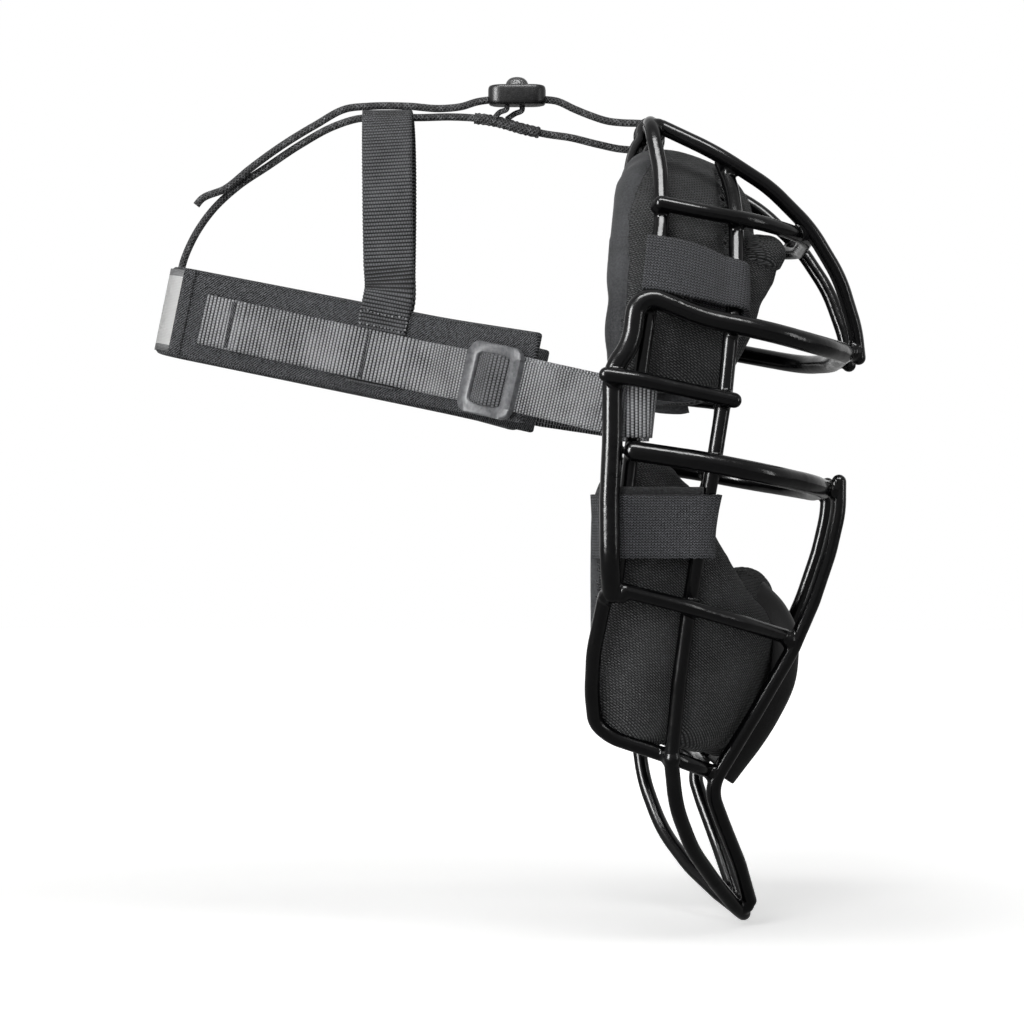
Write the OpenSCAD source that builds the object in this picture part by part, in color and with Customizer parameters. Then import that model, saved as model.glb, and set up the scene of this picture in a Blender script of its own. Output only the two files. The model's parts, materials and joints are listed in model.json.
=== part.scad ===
// Umpire mask: a welded rod cage with two face pads, held on the head by a
// harness of a back band, side webbing, a crown strap and two elastic cords.
// Millimetres. +X is forward, out of the mask. +Y is the wearer's left. +Z is up.
// The origin is the middle of the wearer's head.

/* [Rods] */
// Diameter of the ring, side and lower ring rods, coating included
thick = 7.6; // [6.5:0.1:8.5]
// Diameter of every other rod, coating included
thin = 5.8; // [5:0.1:6.5]
// How deep two crossing rods sink into each other at a weld
bite = 0.6; // [0.3:0.1:1]
// How far the frame rod stands from the middle plane beside the cheeks
frame_half = 85; // [80:0.5:90]

/* [Pads] */
// Gap left between a pad and the rods around it
pad_gap = 0.4; // [0.3:0.1:1]
// How deep the sewn channels draw the pads in, as a share of their size
channel = 0.07; // [0:0.01:0.15]
// Thickness of the hook and loop straps
wrap_thick = 1.8; // [1.2:0.1:2.5]
// Width of the hook and loop straps
wrap_width = 20; // [16:1:25]

/* [Harness] */
// Width of the webbing and of the crown strap
webbing = 20; // [18:1:25]
// Thickness of the webbing
webbing_thick = 1.4; // [1:0.1:2]
// Height of the back band
band_high = 36; // [30:1:42]
// Thickness of the back band
band_thick = 3.4; // [2.5:0.1:5]
// How far the harness leans down towards the front, in degrees
harness_lean = 11.5; // [8:0.5:15]
// Diameter of the elastic cords
cord = 3; // [2.5:0.1:4]

/* [Slider and lock] */
// Length of the slider along the webbing
slider_long = 27; // [23:0.5:28]
// Height of the slider
slider_high = 28; // [26:0.5:32]
// Thickness of the slider
slider_thick = 3; // [2.5:0.1:4]
// Length of the cord lock
lock_long = 23; // [20:0.5:28]
// How far the cord lock's button goes down
button_travel = 1.2; // [1:0.1:2]

/* [Hidden] */
// Distance between the centre lines of two welded rods
tt = thin - bite;
tk = (thin + thick) / 2 - bite;
// Room that the cloth layers keep from each other
lay_gap = 0.1;
// Gap around the pieces that move
run_gap = 0.3;
// The frame rod's point inside the webbing's loop
loop_x = 97.5;
loop_z = -3;
// Back of the band and where its corners start
band_back = -95.5;
corner = 12;
band_low = 4;
// How much higher the left webbing meets the frame rod
left_rise = 3.6;

coat = "#161617";
knit = "#2b2b2d";
suede = "#4a4a4c";
strap = "#3d3d40";
tape = "#37373a";

// Bent rods: straight runs and round bends between route points

function unit(v) = v / norm(v);
function turn(p, k) = acos(min(1, unit(p[k] - p[k - 1]) * unit(p[k + 1] - p[k])));
function side_of(half, s) = [for (q = half) [q.x, s * q.y, q.z]];
function both(half) = concat(side_of(half, -1), [for (k = [len(half) - 1 : -1 : 0]) half[k]]);

// The largest bend that fits between the neighbouring points, up to the radius given
function bend_radius(p, k, most) = min(most,
    0.44 * min(norm(p[k] - p[k - 1]), norm(p[k + 1] - p[k])) / tan(turn(p, k) / 2));
function lead(p, k, most) = (k == 0 || k == len(p) - 1) ? 0
    : bend_radius(p, k, most) * tan(turn(p, k) / 2);

module straight(a, b, d) {
    along = b - a;
    translate(a)
        rotate([0, acos(along.z / norm(along)), atan2(along.y, along.x)])
        cylinder(d = d, h = norm(along), $fn = 24);
}

module bend(p, k, r, d) {
    into = unit(p[k] - p[k - 1]);
    out = unit(p[k + 1] - p[k]);
    inward = unit(out - (out * into) * into);
    start = p[k] - into * r * tan(turn(p, k) / 2);
    centre = start + inward * r;
    z = cross(-inward, into);
    multmatrix([[-inward.x, into.x, z.x, centre.x],
                [-inward.y, into.y, z.y, centre.y],
                [-inward.z, into.z, z.z, centre.z],
                [0, 0, 0, 1]])
        rotate_extrude(angle = turn(p, k), $fn = 48)
        translate([r, 0]) circle(d = d, $fn = 24);
}

// The straight runs are a hair thinner and reach into the bends, so they join as one solid
module bent_rod(p, d, most = 60) {
    last = len(p) - 1;
    for (k = [0 : last - 1]) {
        way = unit(p[k + 1] - p[k]);
        from = p[k] + way * (lead(p, k, most) - (k == 0 ? 0 : 0.3));
        to = p[k + 1] - way * (lead(p, k + 1, most) - (k + 1 == last ? 0 : 0.3));
        straight(from, to, d - 0.04);
    }
    for (k = [1 : last - 1]) bend(p, k, bend_radius(p, k, most), d);
    translate(p[0]) sphere(d = d - 0.08, $fn = 24);
    translate(p[last]) sphere(d = d - 0.08, $fn = 24);
}

// Routes of the rods, one side, from the rod's start to the middle plane or its end

frame_half_route = [[89.6, 80, -68], [93.6, frame_half - 0.4, -36], [96.4, frame_half, -12],
    [98.8, frame_half, 10], [103, 84, 40], [107.2, 70, 69], [106.6, 60.5, 90], [103, 50, 110]];
side_half_route = [[88.4, 85.5, -71], [87.6, 91.8, -59], [87.4, 92.6, -36], [88.4, frame_half + 8, -14],
    [88.6, frame_half + 8, 12], [95.6, 91, 22], [98, 90, 41.5]];
ring_half_route = [[98, 90, 41.5], [122, 87.2, 31.8], [147, 83.5, 26.8], [168, 68, 22],
    [178, 40, 21.2]];
jaw_half_route = [[85.6, 82.5, -73], [81.4, 74, -93], [80.6, 66.5, -109], [81.8, 60.5, -121],
    [88.2, 58, -126.4], [113, 54, -134.8]];
lower_ring_half_route = [[96.4, frame_half + tk, -18], [122, 89.5, -21.8], [146, 82.5, -26.4],
    [165, 58, -30], [170, 36, -31.4]];
upper_cross_half_route = [[106.8, 72, 76], [123, 70.5, 72.8], [143, 62, 70], [157.4, 46, 67.4],
    [164, 28, 66]];
near_ear_route = [[86.4, frame_half + 8 + tk, 10], [97, 97.4, 8.6], [131, 86.4, 1.6],
    [133.8, 85.6, 1]];
far_ear_route = [[86.4, frame_half + 8 + tk, 11], [97, 97.4, 11.4], [131, 87, 7.2],
    [135, 86, 6.4]];
visor_half_route = [[107.4, 46.5, 107.9], [128, 49, 97.8], [149, 44.6, 84.6], [164.6, 40, 69.4],
    [176.4, 34.6, 50.6], [182.8, 29.2, 31], [184.2, 27, 20]];
side_rod_top = [[130.6, 42, 94.4], [134, 49.4, 84.6], [135.4, 59.4, 71.4], [135.2, 71.5, 46],
    [133, 80.2, 28]];
near_side_route = concat(side_rod_top,
    [[130.6, 81.2, 4], [126.6, 82, -21], [121.4, 76.6, -51], [117.6, 68.6, -75], [113.6, 63.8, -105], [111, 59, -132.4]]);
far_side_route = concat(side_rod_top,
    [[134, 80.9, 4], [130, 81.2, -21], [121, 76.6, -51], [113.6, 70.2, -75], [105.6, 67.4, -105], [99, 61, -130.6]]);
lower_cross_half_route = [[93, 86.6, -70], [117.6, 74.6, -76.4], [138, 58.6, -82.6],
    [154.6, 38.6, -88.2]];
jaw_centre_top = [[176, 36, -28.6], [175.9, 36, -40], [172.2, 36, -56],
    [165.8, 37, -75], [157.4, 38, -94.4], [144.2, 38, -117]];
near_throat_route = concat(jaw_centre_top,
    [[126, 37.6, -147], [131, 31, -161], [137.8, 19.6, -178], [142.4, 7.4, -194]]);
far_throat_route = concat(jaw_centre_top,
    [[121, 37.6, -146.4], [124.8, 33.4, -158.4], [130.8, 26, -174.6], [137.4, 12.6, -194]]);
throat_near = [[110.9, -58, -136.4], [112.6, -54, -153], [119, -41, -170.6], [128.4, -24.4, -185],
    [137, -9.6, -196.6]];
throat_far = [[98.6, 60, -134.6], [101, 57.6, -151.6], [108.4, 47.6, -171], [119.6, 31, -184.6],
    [130.4, 14.6, -193.4]];

// Smooth forms: rings of points joined into one closed skin

// Point between rows of a list, smoothly, at place u counted in rows
function smooth_row(rows, u) =
    let (last = len(rows) - 1, k = min(floor(u), last - 1), t = u - k,
        a = rows[max(k - 1, 0)], b = rows[k], c = rows[k + 1], d = rows[min(k + 2, last)])
    b + t * ((c - a) / 2 + t * ((a * 2 - b * 5 + c * 4 - d) / 2 + t * (b * 3 - a - c * 3 + d) / 2));

function lobe(v, fullness) = sign(v) * pow(abs(v), 2 / fullness);

// One point of a pad's skin. A row holds centre, long axis, outward way, half length, half depth
function skin_point(rows, u, angle, fullness, seams, extra = 0) =
    let (r = smooth_row(rows, u), long = unit(r[1]), out = unit(r[2] - (r[2] * long) * long),
        pinch = 1 - channel * max([for (s = seams) exp(-pow((u - s) / 0.22, 2))]))
    r[0] + long * (r[3] * pinch + extra) * lobe(cos(angle), fullness)
        + out * (r[4] * pinch + extra) * lobe(sin(angle), fullness);

function mirror_row(r) = [[r[0].x, -r[0].y, r[0].z], [r[1].x, -r[1].y, r[1].z],
    [r[2].x, -r[2].y, r[2].z], r[3], r[4]];
function both_rows(half) = concat(half, [for (k = [len(half) - 2 : -1 : 0]) mirror_row(half[k])]);

// Joins rings of equal length, closing both ends on a middle point
module loft(rings, turned = false) {
    n = len(rings[0]);
    m = len(rings);
    middle = function (ring) [for (q = ring) 1] * ring / n;
    points = concat([for (ring = rings) each ring], [middle(rings[0]), middle(rings[m - 1])]);
    walls = [for (j = [0 : m - 2]) for (k = [0 : n - 1])
        let (a = j * n + k, b = j * n + (k + 1) % n, c = a + n, e = b + n)
        each [[a, b, e], [a, e, c]]];
    ends = [for (k = [0 : n - 1]) each [[m * n, (k + 1) % n, k],
        [m * n + 1, (m - 1) * n + k, (m - 1) * n + (k + 1) % n]]];
    all = concat(walls, ends);
    polyhedron(points, turned ? [for (f = all) [f[2], f[1], f[0]]] : all, convexity = 6);
}

module pad(rows, fullness, seams, step, turned = false) {
    loft([for (u = [0 : step : len(rows) - 1 + 0.001])
        [for (k = [0 : 23]) skin_point(rows, u, k * 15, fullness, seams)]], turned);
}

// A flat strap. A row holds its middle, the way across its width and the way out of its face
function strap_ring(r, wide, deep) =
    let (across = unit(r[1]), out = unit(r[2] - (r[2] * across) * across))
    [for (c = [[-1, -1], [1, -1], [1, 1], [-1, 1]])
        r[0] + across * (c.x * wide / 2) + out * (c.y * deep / 2)];
module ribbon(rows, wide, deep, turned = false) {
    loft([for (r = rows) strap_ring(r, wide, deep)], turned);
}
function mirror_rows(rows) = [for (r = rows) [for (v = r) [v.x, -v.y, v.z]]];

// The pads' rows: centre, long axis, outward way, half length, half depth

upper_half_rows = [
    [[110, -58, 4.5], [1, 0.18, 0], [0, -1, 0], 10, 4],
    [[110.5, -60, 7.5], [1, 0.2, 0], [0, -1, 0], 19.5, 9.5],
    [[112.5, -60.6, 22], [1, 0.22, 0], [0, -1, 0], 27.5, 12],
    [[116, -58, 40], [1, 0.25, -0.03], [0, -1, 0.1], 32, 12],
    [[119.6, -52.4, 57], [1, 0.27, -0.06], [0, -1, 0.3], 34.4, 12],
    [[120, -43, 71.5], [1, 0.22, -0.2], [0, -0.8, 0.6], 33, 13.4],
    [[120.6, -26, 79.5], [1, 0.12, -0.42], [0, -0.35, 0.95], 33, 16],
    [[123.6, 0, 80.5], [1, 0, -0.5], [0, 0, 1], 34, 17.6]];
upper_rows = both_rows(upper_half_rows);

lower_half_rows = [
    [[81, -57, -74], [0, -0.16, 1], [-0.4, -1, 0], 37, 4],
    [[84.5, -59.5, -73.5], [0, -0.18, 1], [-0.25, -1, 0], 48, 9.5],
    [[98, -60.5, -73], [0, -0.2, 1], [0, -1, 0], 54, 12.5],
    [[111.6, -54, -75.5], [0.05, -0.2, 1], [0.25, -1, 0], 53, 11.8],
    [[120.6, -46.4, -87], [0.08, -0.2, 1], [0.6, -0.8, 0], 43, 11.8],
    [[129, -34, -98.5], [0.26, -0.1, 1], [0.85, -0.5, 0], 32, 13],
    [[135.9, -17.6, -103], [0.42, -0.03, 1], [0.97, -0.2, 0], 30.5, 13.9],
    [[137.4, 0, -104.5], [0.46, 0, 1], [1, 0, 0], 29, 14.2]];
lower_rows = both_rows(lower_half_rows);

upper_seams = [2.9, 6, 8, 11.1];
lower_seams = [3, 5.6, 8.4, 11];

// The harness is laid out level and then leans down to the front

function lean(p) = [p.x * cos(harness_lean) + p.z * sin(harness_lean), p.y,
    p.z * cos(harness_lean) - p.x * sin(harness_lean)];
// Plan of the right side: nearly straight at the back, turning out to the frame from x = 8 on
function flare(x) = x < 8 ? 0 : x < 26 ? (x - 8) * (x - 8) / 36 : x - 17;
function plan_y(x) = -14 - 0.14 * (x - band_back) - 0.646 * flare(x);
function plan_slope(x) = plan_y(x + 0.5) - plan_y(x - 0.5);
function plan_out(x) = unit([plan_slope(x), -1, 0]);
function across_at(x, g) = lean([g, g * plan_slope(x), 1]);
// Height of the webbing's middle on the level harness
function strap_high(x) = x < 38 ? 20.8 - 0.02 * (x + 79) : 18.5 - 0.05 * (x - 38);
function on_harness(x, z, off) = [x, plan_y(x), z] + plan_out(x) * off;

// Cage: the welded rods

module visor_side_rod() {
    color(coat) bent_rod(both(concat(side_half_route,
        [for (k = [1 : len(ring_half_route) - 1]) ring_half_route[k]])), thick);
}
module face_frame_rod() { color(coat) bent_rod(both(frame_half_route), thin); }
module jaw_rod() {
    color(coat) bent_rod(concat(side_of(jaw_half_route, -1), [[124.6, -42, -140], [120.6, 41, -139.6]],
        [for (k = [len(jaw_half_route) - 1 : -1 : 0]) jaw_half_route[k]]), thin);
}
module lower_ring_rod() { color(coat) bent_rod(both(lower_ring_half_route), thick); }
module upper_cross_rod() { color(coat) bent_rod(both(upper_cross_half_route), thin); }
module ear_bar_left() { color(coat) bent_rod(side_of(far_ear_route, 1), thin); }
module ear_bar_right() { color(coat) bent_rod(side_of(near_ear_route, -1), thin); }
module visor_centre_rod_left() { color(coat) bent_rod(side_of(visor_half_route, 1), thin); }
module visor_centre_rod_right() { color(coat) bent_rod(side_of(visor_half_route, -1), thin); }
module side_rod_left() { color(coat) bent_rod(side_of(far_side_route, 1), thin); }
module side_rod_right() { color(coat) bent_rod(side_of(near_side_route, -1), thin); }
module lower_cross_rod_left() { color(coat) bent_rod(side_of(lower_cross_half_route, 1), thin); }
module lower_cross_rod_right() { color(coat) bent_rod(side_of(lower_cross_half_route, -1), thin); }
module jaw_centre_rod_left() { color(coat) bent_rod(side_of(far_throat_route, 1), thin); }
module jaw_centre_rod_right() { color(coat) bent_rod(side_of(near_throat_route, -1), thin); }
module throat_loop_rod() {
    color(coat) bent_rod(concat(throat_near, [[141.4, -1, -200.6]],
        [for (k = [len(throat_far) - 1 : -1 : 0]) throat_far[k]]), thin);
}

// Pads and the straps that hold them to the rods

module upper_pad() { color(knit) pad(upper_rows, 2.6, upper_seams, 1 / 3); }
module lower_pad() { color(knit) pad(lower_rows, 2.7, lower_seams, 1 / 3, true); }

chin_line = [[147.6, -67.4], [155.8, -76.4], [160.6, -88], [160, -97], [157.8, -105.4], [150.8, -119.4],
    [142.6, -131.6], [137.4, -138.6], [131, -145.6]];
function chin_out(k) = let (a = chin_line[max(k - 1, 0)], b = chin_line[min(k + 1, 8)],
    v = unit([b.x - a.x, b.y - a.y])) [-v.y, v.x];
module chin_flap() {
    inner = [for (k = [8 : -1 : 0]) chin_line[k] - chin_out(k) * 2.2];
    color("#1c1c1d") rotate([90, 0, 0]) translate([0, 0, -29])
        linear_extrude(58) polygon(concat(chin_line, inner));
}

// Upper strap: a fold round the side rod and a flap that reaches back over the frame rod
fold_r = thin / 2 + run_gap + wrap_thick / 2;
upper_axis = unit([0.02, 0.44, 0.9]);
upper_pin = [135.2, -71.5, 46];
flap_way = unit([-0.96, -0.17, 0.19]);
flap_out = unit(cross(upper_axis, flap_way));
flap_drop = 3;
module upper_fold(s) {
    inner = [for (t = [16, 9, 3]) [upper_pin - flap_out * fold_r + flap_way * t, upper_axis, -flap_out]];
    round = [for (a = [-70 : 20 : 70])
        let (w = flap_out * sin(a) - flap_way * cos(a)) [upper_pin + w * fold_r, upper_axis, w]];
    outer = [for (t = [1, 6, 12]) [upper_pin + flap_out * fold_r + flap_way * t, upper_axis, flap_out]];
    rows = [for (r = concat(inner, round, outer)) [r[0] - upper_axis * flap_drop, r[1], r[2]]];
    color(strap) ribbon(s < 0 ? rows : mirror_rows(rows), wrap_width, wrap_thick, s > 0);
}
module upper_fold_left() { upper_fold(1); }
module upper_fold_right() { upper_fold(-1); }
module upper_flap(s) {
    rows = [for (t = [12.2 : 5 : 37.2]) [upper_pin - upper_axis * flap_drop
        + flap_out * (fold_r + 1.6 + 1.4 * sin((t - 12.2) * 7.2)) + flap_way * t, upper_axis, flap_out]];
    color(strap) ribbon(s < 0 ? rows : mirror_rows(rows), wrap_width, wrap_thick, s > 0);
}
module upper_flap_left() { upper_flap(1); }
module upper_flap_right() { upper_flap(-1); }

// Loop patch sewn on the pad's side behind the frame rod, following the pad's skin
module upper_patch(s) {
    rings = [for (u = [2.9 : 0.2 : 3.9]) concat(
        [for (a = [106 : 10 : 146]) skin_point(upper_rows, u, a, 2.6, upper_seams, 0.35)],
        [for (a = [146 : -10 : 106]) skin_point(upper_rows, u, a, 2.6, upper_seams, 1.2)])];
    color(tape) mirror([0, s > 0 ? 1 : 0, 0]) loft(rings, true);
}
module upper_patch_left() { upper_patch(1); }
module upper_patch_right() { upper_patch(-1); }

// Lower strap: round the side rod, over the frame rod and in behind the outer side rod
module lower_wrap(s) {
    plan = [[116.4, -72.7], [121.2, -72.6], [124.8, -73.4], [126.9, -76.6], [126.1, -80.3],
        [122.8, -82.3], [115, -83.1], [106, -84.5], [97, -86.8], [92.6, -87.6], [89.6, -86.3],
        [87.2, -83], [85.2, -79.4], [83.2, -76], [81, -73.4]];
    rows = [for (k = [0 : len(plan) - 1])
        let (a = plan[max(k - 1, 0)], b = plan[min(k + 1, len(plan) - 1)], v = unit([b.x - a.x, b.y - a.y, 0]))
        [[plan[k].x, plan[k].y, -46], k < 6 ? (s > 0 ? [0.3, -0.21, 1] : [0.18, -0.24, 1]) : [0.13, -0.16, 1], [v.y, -v.x, 0]]];
    color(strap) ribbon(s < 0 ? rows : mirror_rows(rows), wrap_width + 4, wrap_thick, s < 0);
}
module lower_wrap_left() { lower_wrap(1); }
module lower_wrap_right() { lower_wrap(-1); }

// Harness: band, webbing, crown strap

band_out = band_thick / 2;
return_off = band_out + lay_gap + webbing_thick / 2;
front_off = return_off + webbing_thick + lay_gap;
plan_end = 54.5;
corner_x = band_back + corner;
corner_y = plan_y(corner_x) + corner;
function band_side(off, s) = concat(
    [for (x = [plan_end, 49, 44, 38, 32, 26, 23, 20, 17, 14, 11, 8, -20, -52, corner_x])
        let (q = on_harness(x, 0, off)) [q.x, -s * q.y]],
    [for (a = [100 : 10 : 180]) [corner_x, -s * corner_y] + (corner + off) * [cos(a), s * sin(a)]]);
function flip_list(v) = [for (k = [len(v) - 1 : -1 : 0]) v[k]];
module back_band() {
    color("#303033") rotate([0, harness_lean, 0]) translate([0, 0, band_low]) linear_extrude(band_high)
        polygon(concat(band_side(band_out, -1), flip_list(band_side(band_out, 1)),
            band_side(-band_out, 1), flip_list(band_side(-band_out, -1))));
}
// A bare woven patch where the real band has a coloured label, at the right back corner
module label_patch() {
    off = band_out + lay_gap + 0.4;
    arc = [for (a = [170 : -10 : 110]) [[corner_x, corner_y, band_low + band_high / 2]
        + (corner + off) * [cos(a), -sin(a), 0], [0, 0, 1], [cos(a), -sin(a), 0]]];
    color("#a8a8aa") ribbon([for (r = arc) [for (v = r) lean(v)]], band_high - 3, 0.8, true);
}
// How far the webbing's middle stands off the band's middle surface: tacks, the crown strap
// under it, and the step up to the front where the return layer lies under it
function webbing_off(x) = return_off + lookup(x, [[-90, 0], [-68, 0], [-63, 1.6], [-58, 0.3], [-54, 0],
    [-29, 0], [-23, 1.7], [-12, 1.9], [3, 1.7], [8, 0.2], [15, 0], [22, 1.5], [200, 1.5]]);
// The left webbing is a little higher at the front than the right one
function rise(s, x) = s > 0 ? max(0, min(1, (x - 56) / 30)) * left_rise : 0;
loop_r = thin / 2 + 0.35 + webbing_thick / 2;
loop_slack = 2.2;
loop_up = unit([2.4, 0, 22]);
// The loop round the frame rod: outer side, front, inner side
loop_plan = concat([[92.2, -87.2], [loop_x - loop_slack - 0.6, -frame_half - loop_r]],
    [for (a = [-90 : 30 : 90]) [loop_x + loop_slack, -frame_half] + loop_r * [cos(a), sin(a)]],
    [[loop_x - loop_slack, -frame_half + loop_r], [92.4, -frame_half + loop_r - 1.2]]);
module webbing(s) {
    along = [for (x = [-79, -76, -68, -65, -63, -61, -58, -54, -40, -29, -26, -23, -12, -4, 3, 5, 8, 12, 15,
        18, 22, 26, 34, 42, 50, 58, 66, 74, 82, 87])
        [lean(on_harness(x, strap_high(x) + rise(s, x), webbing_off(x))),
        across_at(x, x > 38 ? 0.05 : 0.02), lean(plan_out(x))]];
    around = [for (k = [0 : len(loop_plan) - 1])
        let (a = loop_plan[max(k - 1, 0)], b = loop_plan[min(k + 1, len(loop_plan) - 1)],
            v = unit([b.x - a.x, b.y - a.y, 0]))
        [[loop_plan[k].x, loop_plan[k].y, loop_z + rise(s, 100)], loop_up, [v.y, -v.x, 0]]];
    rows = concat(along, around);
    color(strap) ribbon(s < 0 ? rows : mirror_rows(rows), webbing, webbing_thick, s < 0);
}
module webbing_left() { webbing(1); }
module webbing_right() { webbing(-1); }
module return_layer(s) {
    rows = concat([for (x = [40, 50, 60, 70, 80, 86]) [lean(on_harness(x, strap_high(x) + 1.6 + rise(s, x), return_off
        - (x > 70 ? (x - 70) * 0.03 : 0))), across_at(x, 0.05), lean(plan_out(x))]],
        [[[91.6, -frame_half + loop_r - 1.6 - webbing_thick, loop_z + rise(s, 100)], loop_up, [0.3, -1, 0]]]);
    color(strap) ribbon(s < 0 ? rows : mirror_rows(rows), webbing, webbing_thick, s < 0);
}
module return_left() { return_layer(1); }
module return_right() { return_layer(-1); }

// Crown strap: from under the webbing on one side, over the head, to the other side
crown_x = -2;
crown_foot = 8;
// Where the foot stands on the level harness
crown_level = -8;
crown_top = 120.3;
crown_z0 = 46;
crown_back = 3.6;
module crown_strap() {
    foot = [for (z = [crown_foot, 16, 24, 32, 40]) [lean(on_harness(crown_level, z, return_off)),
        lean([1, -0.14, 0]), lean(plan_out(crown_level))]];
    x0 = foot[4][0].x + 1;
    y0 = foot[4][0].y;
    arch = [for (a = [0 : 9 : 81]) [[x0 + (crown_x - x0) * a / 90, y0 * cos(a),
        crown_z0 + (crown_top - crown_z0) * sin(a)],
        unit([1, -0.14 * (1 - a / 81), -0.2 * max(0, 1 - a / 36)]), [0, -cos(a) / 28, sin(a) / 74]]];
    half = concat(foot, arch);
    top = [[[crown_x, 0, crown_top], [1, 0, 0], [0, 0, 1]]];
    other = [for (k = [len(half) - 1 : -1 : 0]) let (q = half[k],
        back = crown_back * max(0, min(1, (crown_top - q[0].z) / 80)), n = -back * 0.14)
        [[q[0].x - back, -q[0].y + n, q[0].z], [q[1].x, -q[1].y, q[1].z], [q[2].x, -q[2].y, q[2].z]]];
    color(strap) ribbon(concat(half, top, other), webbing, webbing_thick);
}
module crown_keeper() {
    rows = [for (y = [-8.4, -5, 0, 5, 8.4]) [[crown_x, y, 115.5 + abs(y) * 0.03], [1, 0, 0], [0, 0, 1]]];
    color(strap) ribbon(rows, webbing - 2, 1);
}

// Elastic cords, in the middle plane

upper_z = crown_top + webbing_thick / 2 + lay_gap + cord / 2;
lower_z = crown_top - webbing_thick / 2 - lay_gap - cord / 2;
cord_z = 125;
lock_z = 126.6;
lock_x = 50;
module upper_cord_rear() {
    color("#202022") bent_rod([[-77, -1.6, 85], [-67, -1.6, 89.6], [-57, -1.6, 97.6], [-44, -1.2, 107],
        [-31, -0.6, 115], [-18, 0, upper_z], [11, 0, upper_z], [20, 0, 121.4], [28, 0, 121.8],
        [34, 0, cord_z], [lock_x + 15.6, 0, cord_z]], cord, 40);
}
module upper_cord_front() {
    color("#202022") bent_rod([[lock_x + 15, 0, cord_z], [73, -0.8, 120.6], [79.6, -1.6, 118],
        [86, -2.6, 115.6], [92, -3.4, 115.1], [97, -3.4, 114.95]], cord, 40);
}
module lower_cord_rear() {
    color("#202022") bent_rod([[-86.2, 0, 51], [-83.6, 0.6, 62], [-72.4, 1.5, 81.4], [-62, 1.5, 91],
        [-50.6, 1.5, 98.6], [-36.4, 0.8, 107.8], [-22, 0, 114.4], [-12, 0, lower_z], [12, 0, lower_z],
        [30, 0, 118.2], [40, 0, 116.8]], cord, 40);
}
module cord_knot() {
    color("#202022") bent_rod([[32, 0, 117.8], [43, 0, 116], [52, 0, 113.4], [62, 0, 111.2]], cord + 1.6, 20);
}
module lower_cord_front() {
    color("#202022") bent_rod([[60, 1, 111.4], [72, 2, 110.4], [82, 3, 107.6], [92, 3.4, 105.2],
        [97, 3.4, 105.1]], cord, 40);
}
module hitch(y, tilt) {
    color("#202022") translate([103, y, 110]) rotate([90, 0, 0])
        rotate_extrude($fn = 48) translate([thin / 2 + 0.2 + cord / 2, 0]) circle(d = cord, $fn = 24);
}
module hitch_upper() { hitch(-3.4); }
module hitch_lower() { hitch(3.4); }
module tie_cord(s) {
    color("#202022") bent_rod([[lock_x - 1 + 3 * s, s * 1.9, lock_z - lock_high / 2 - 1.5],
        [lock_x - 4 + 3 * s, s * 2, 120], [lock_x - 6.6 + 2.4 * s, s * 1.8, 117.4]], 2.2, 6);
}
module tie_cord_left() { tie_cord(1); }
module tie_cord_right() { tie_cord(-1); }

// Slider: a flat frame with a centre bar. Its own X runs along the webbing, Z out of it.

slider_at = 42.9;
slider_off = front_off + webbing_thick / 2 + run_gap + slider_thick / 2;
window_long = 18;
window_high = webbing + 1;
bar_wide = 4;
module on_webbing(x, off, s) {
    o = lean(on_harness(x, strap_high(x), off));
    n = lean(plan_out(x));
    up0 = lean([0.05, 0, 1]);
    up = unit(up0 - (up0 * n) * n);
    a = cross(up, n);
    mirror([0, s > 0 ? 1 : 0, 0])
        multmatrix([[a.x, up.x, n.x, o.x], [a.y, up.y, n.y, o.y], [a.z, up.z, n.z, o.z], [0, 0, 0, 1]])
        children();
}
module round_plate(long, high, r, thick_of) {
    translate([0, 0, -thick_of / 2]) linear_extrude(thick_of) union() {
        square([long - 2 * r, high], center = true);
        square([long, high - 2 * r], center = true);
        for (i = [-1, 1]) for (j = [-1, 1]) translate([i * (long / 2 - r), j * (high / 2 - r)])
            circle(r = r, $fn = 32);
    }
}
module slider(s) {
    color("#6b6b6d") on_webbing(slider_at, slider_off, s) {
        difference() {
            round_plate(slider_long, slider_high, 6, slider_thick);
            round_plate(window_long, window_high, 2.4, slider_thick + 2);
        }
        translate([0, 0, -0.7]) cube([bar_wide, window_high + 1, slider_thick - 1.4], center = true);
    }
}
module slider_left() { slider(1); }
module slider_right() { slider(-1); }
// The length of webbing that shows in the slider's window, going over the centre bar
module weave(s) {
    low = -slider_thick / 2 + webbing_thick / 2;
    high = slider_thick / 2 - 1.4 + run_gap + webbing_thick / 2;
    color(strap) on_webbing(slider_at, slider_off, s)
        ribbon([for (q = [[-8, low], [-6, low + 0.1], [-3.6, high - 0.5], [-2, high], [0, high + 0.1],
            [2, high], [3.6, high - 0.5], [6, low + 0.1], [8, low]]) [[q.x, 0, q.y], [0, 1, 0], [0, 0, 1]]],
            webbing, webbing_thick, true);
}
module weave_left() { weave(1); }
module weave_right() { weave(-1); }

// Cord lock: the body that the cord runs through, its sprung button and the spring

lock_wide = 13;
lock_high = 7.8;
stem = 5;
knob = 9.6;
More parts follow.
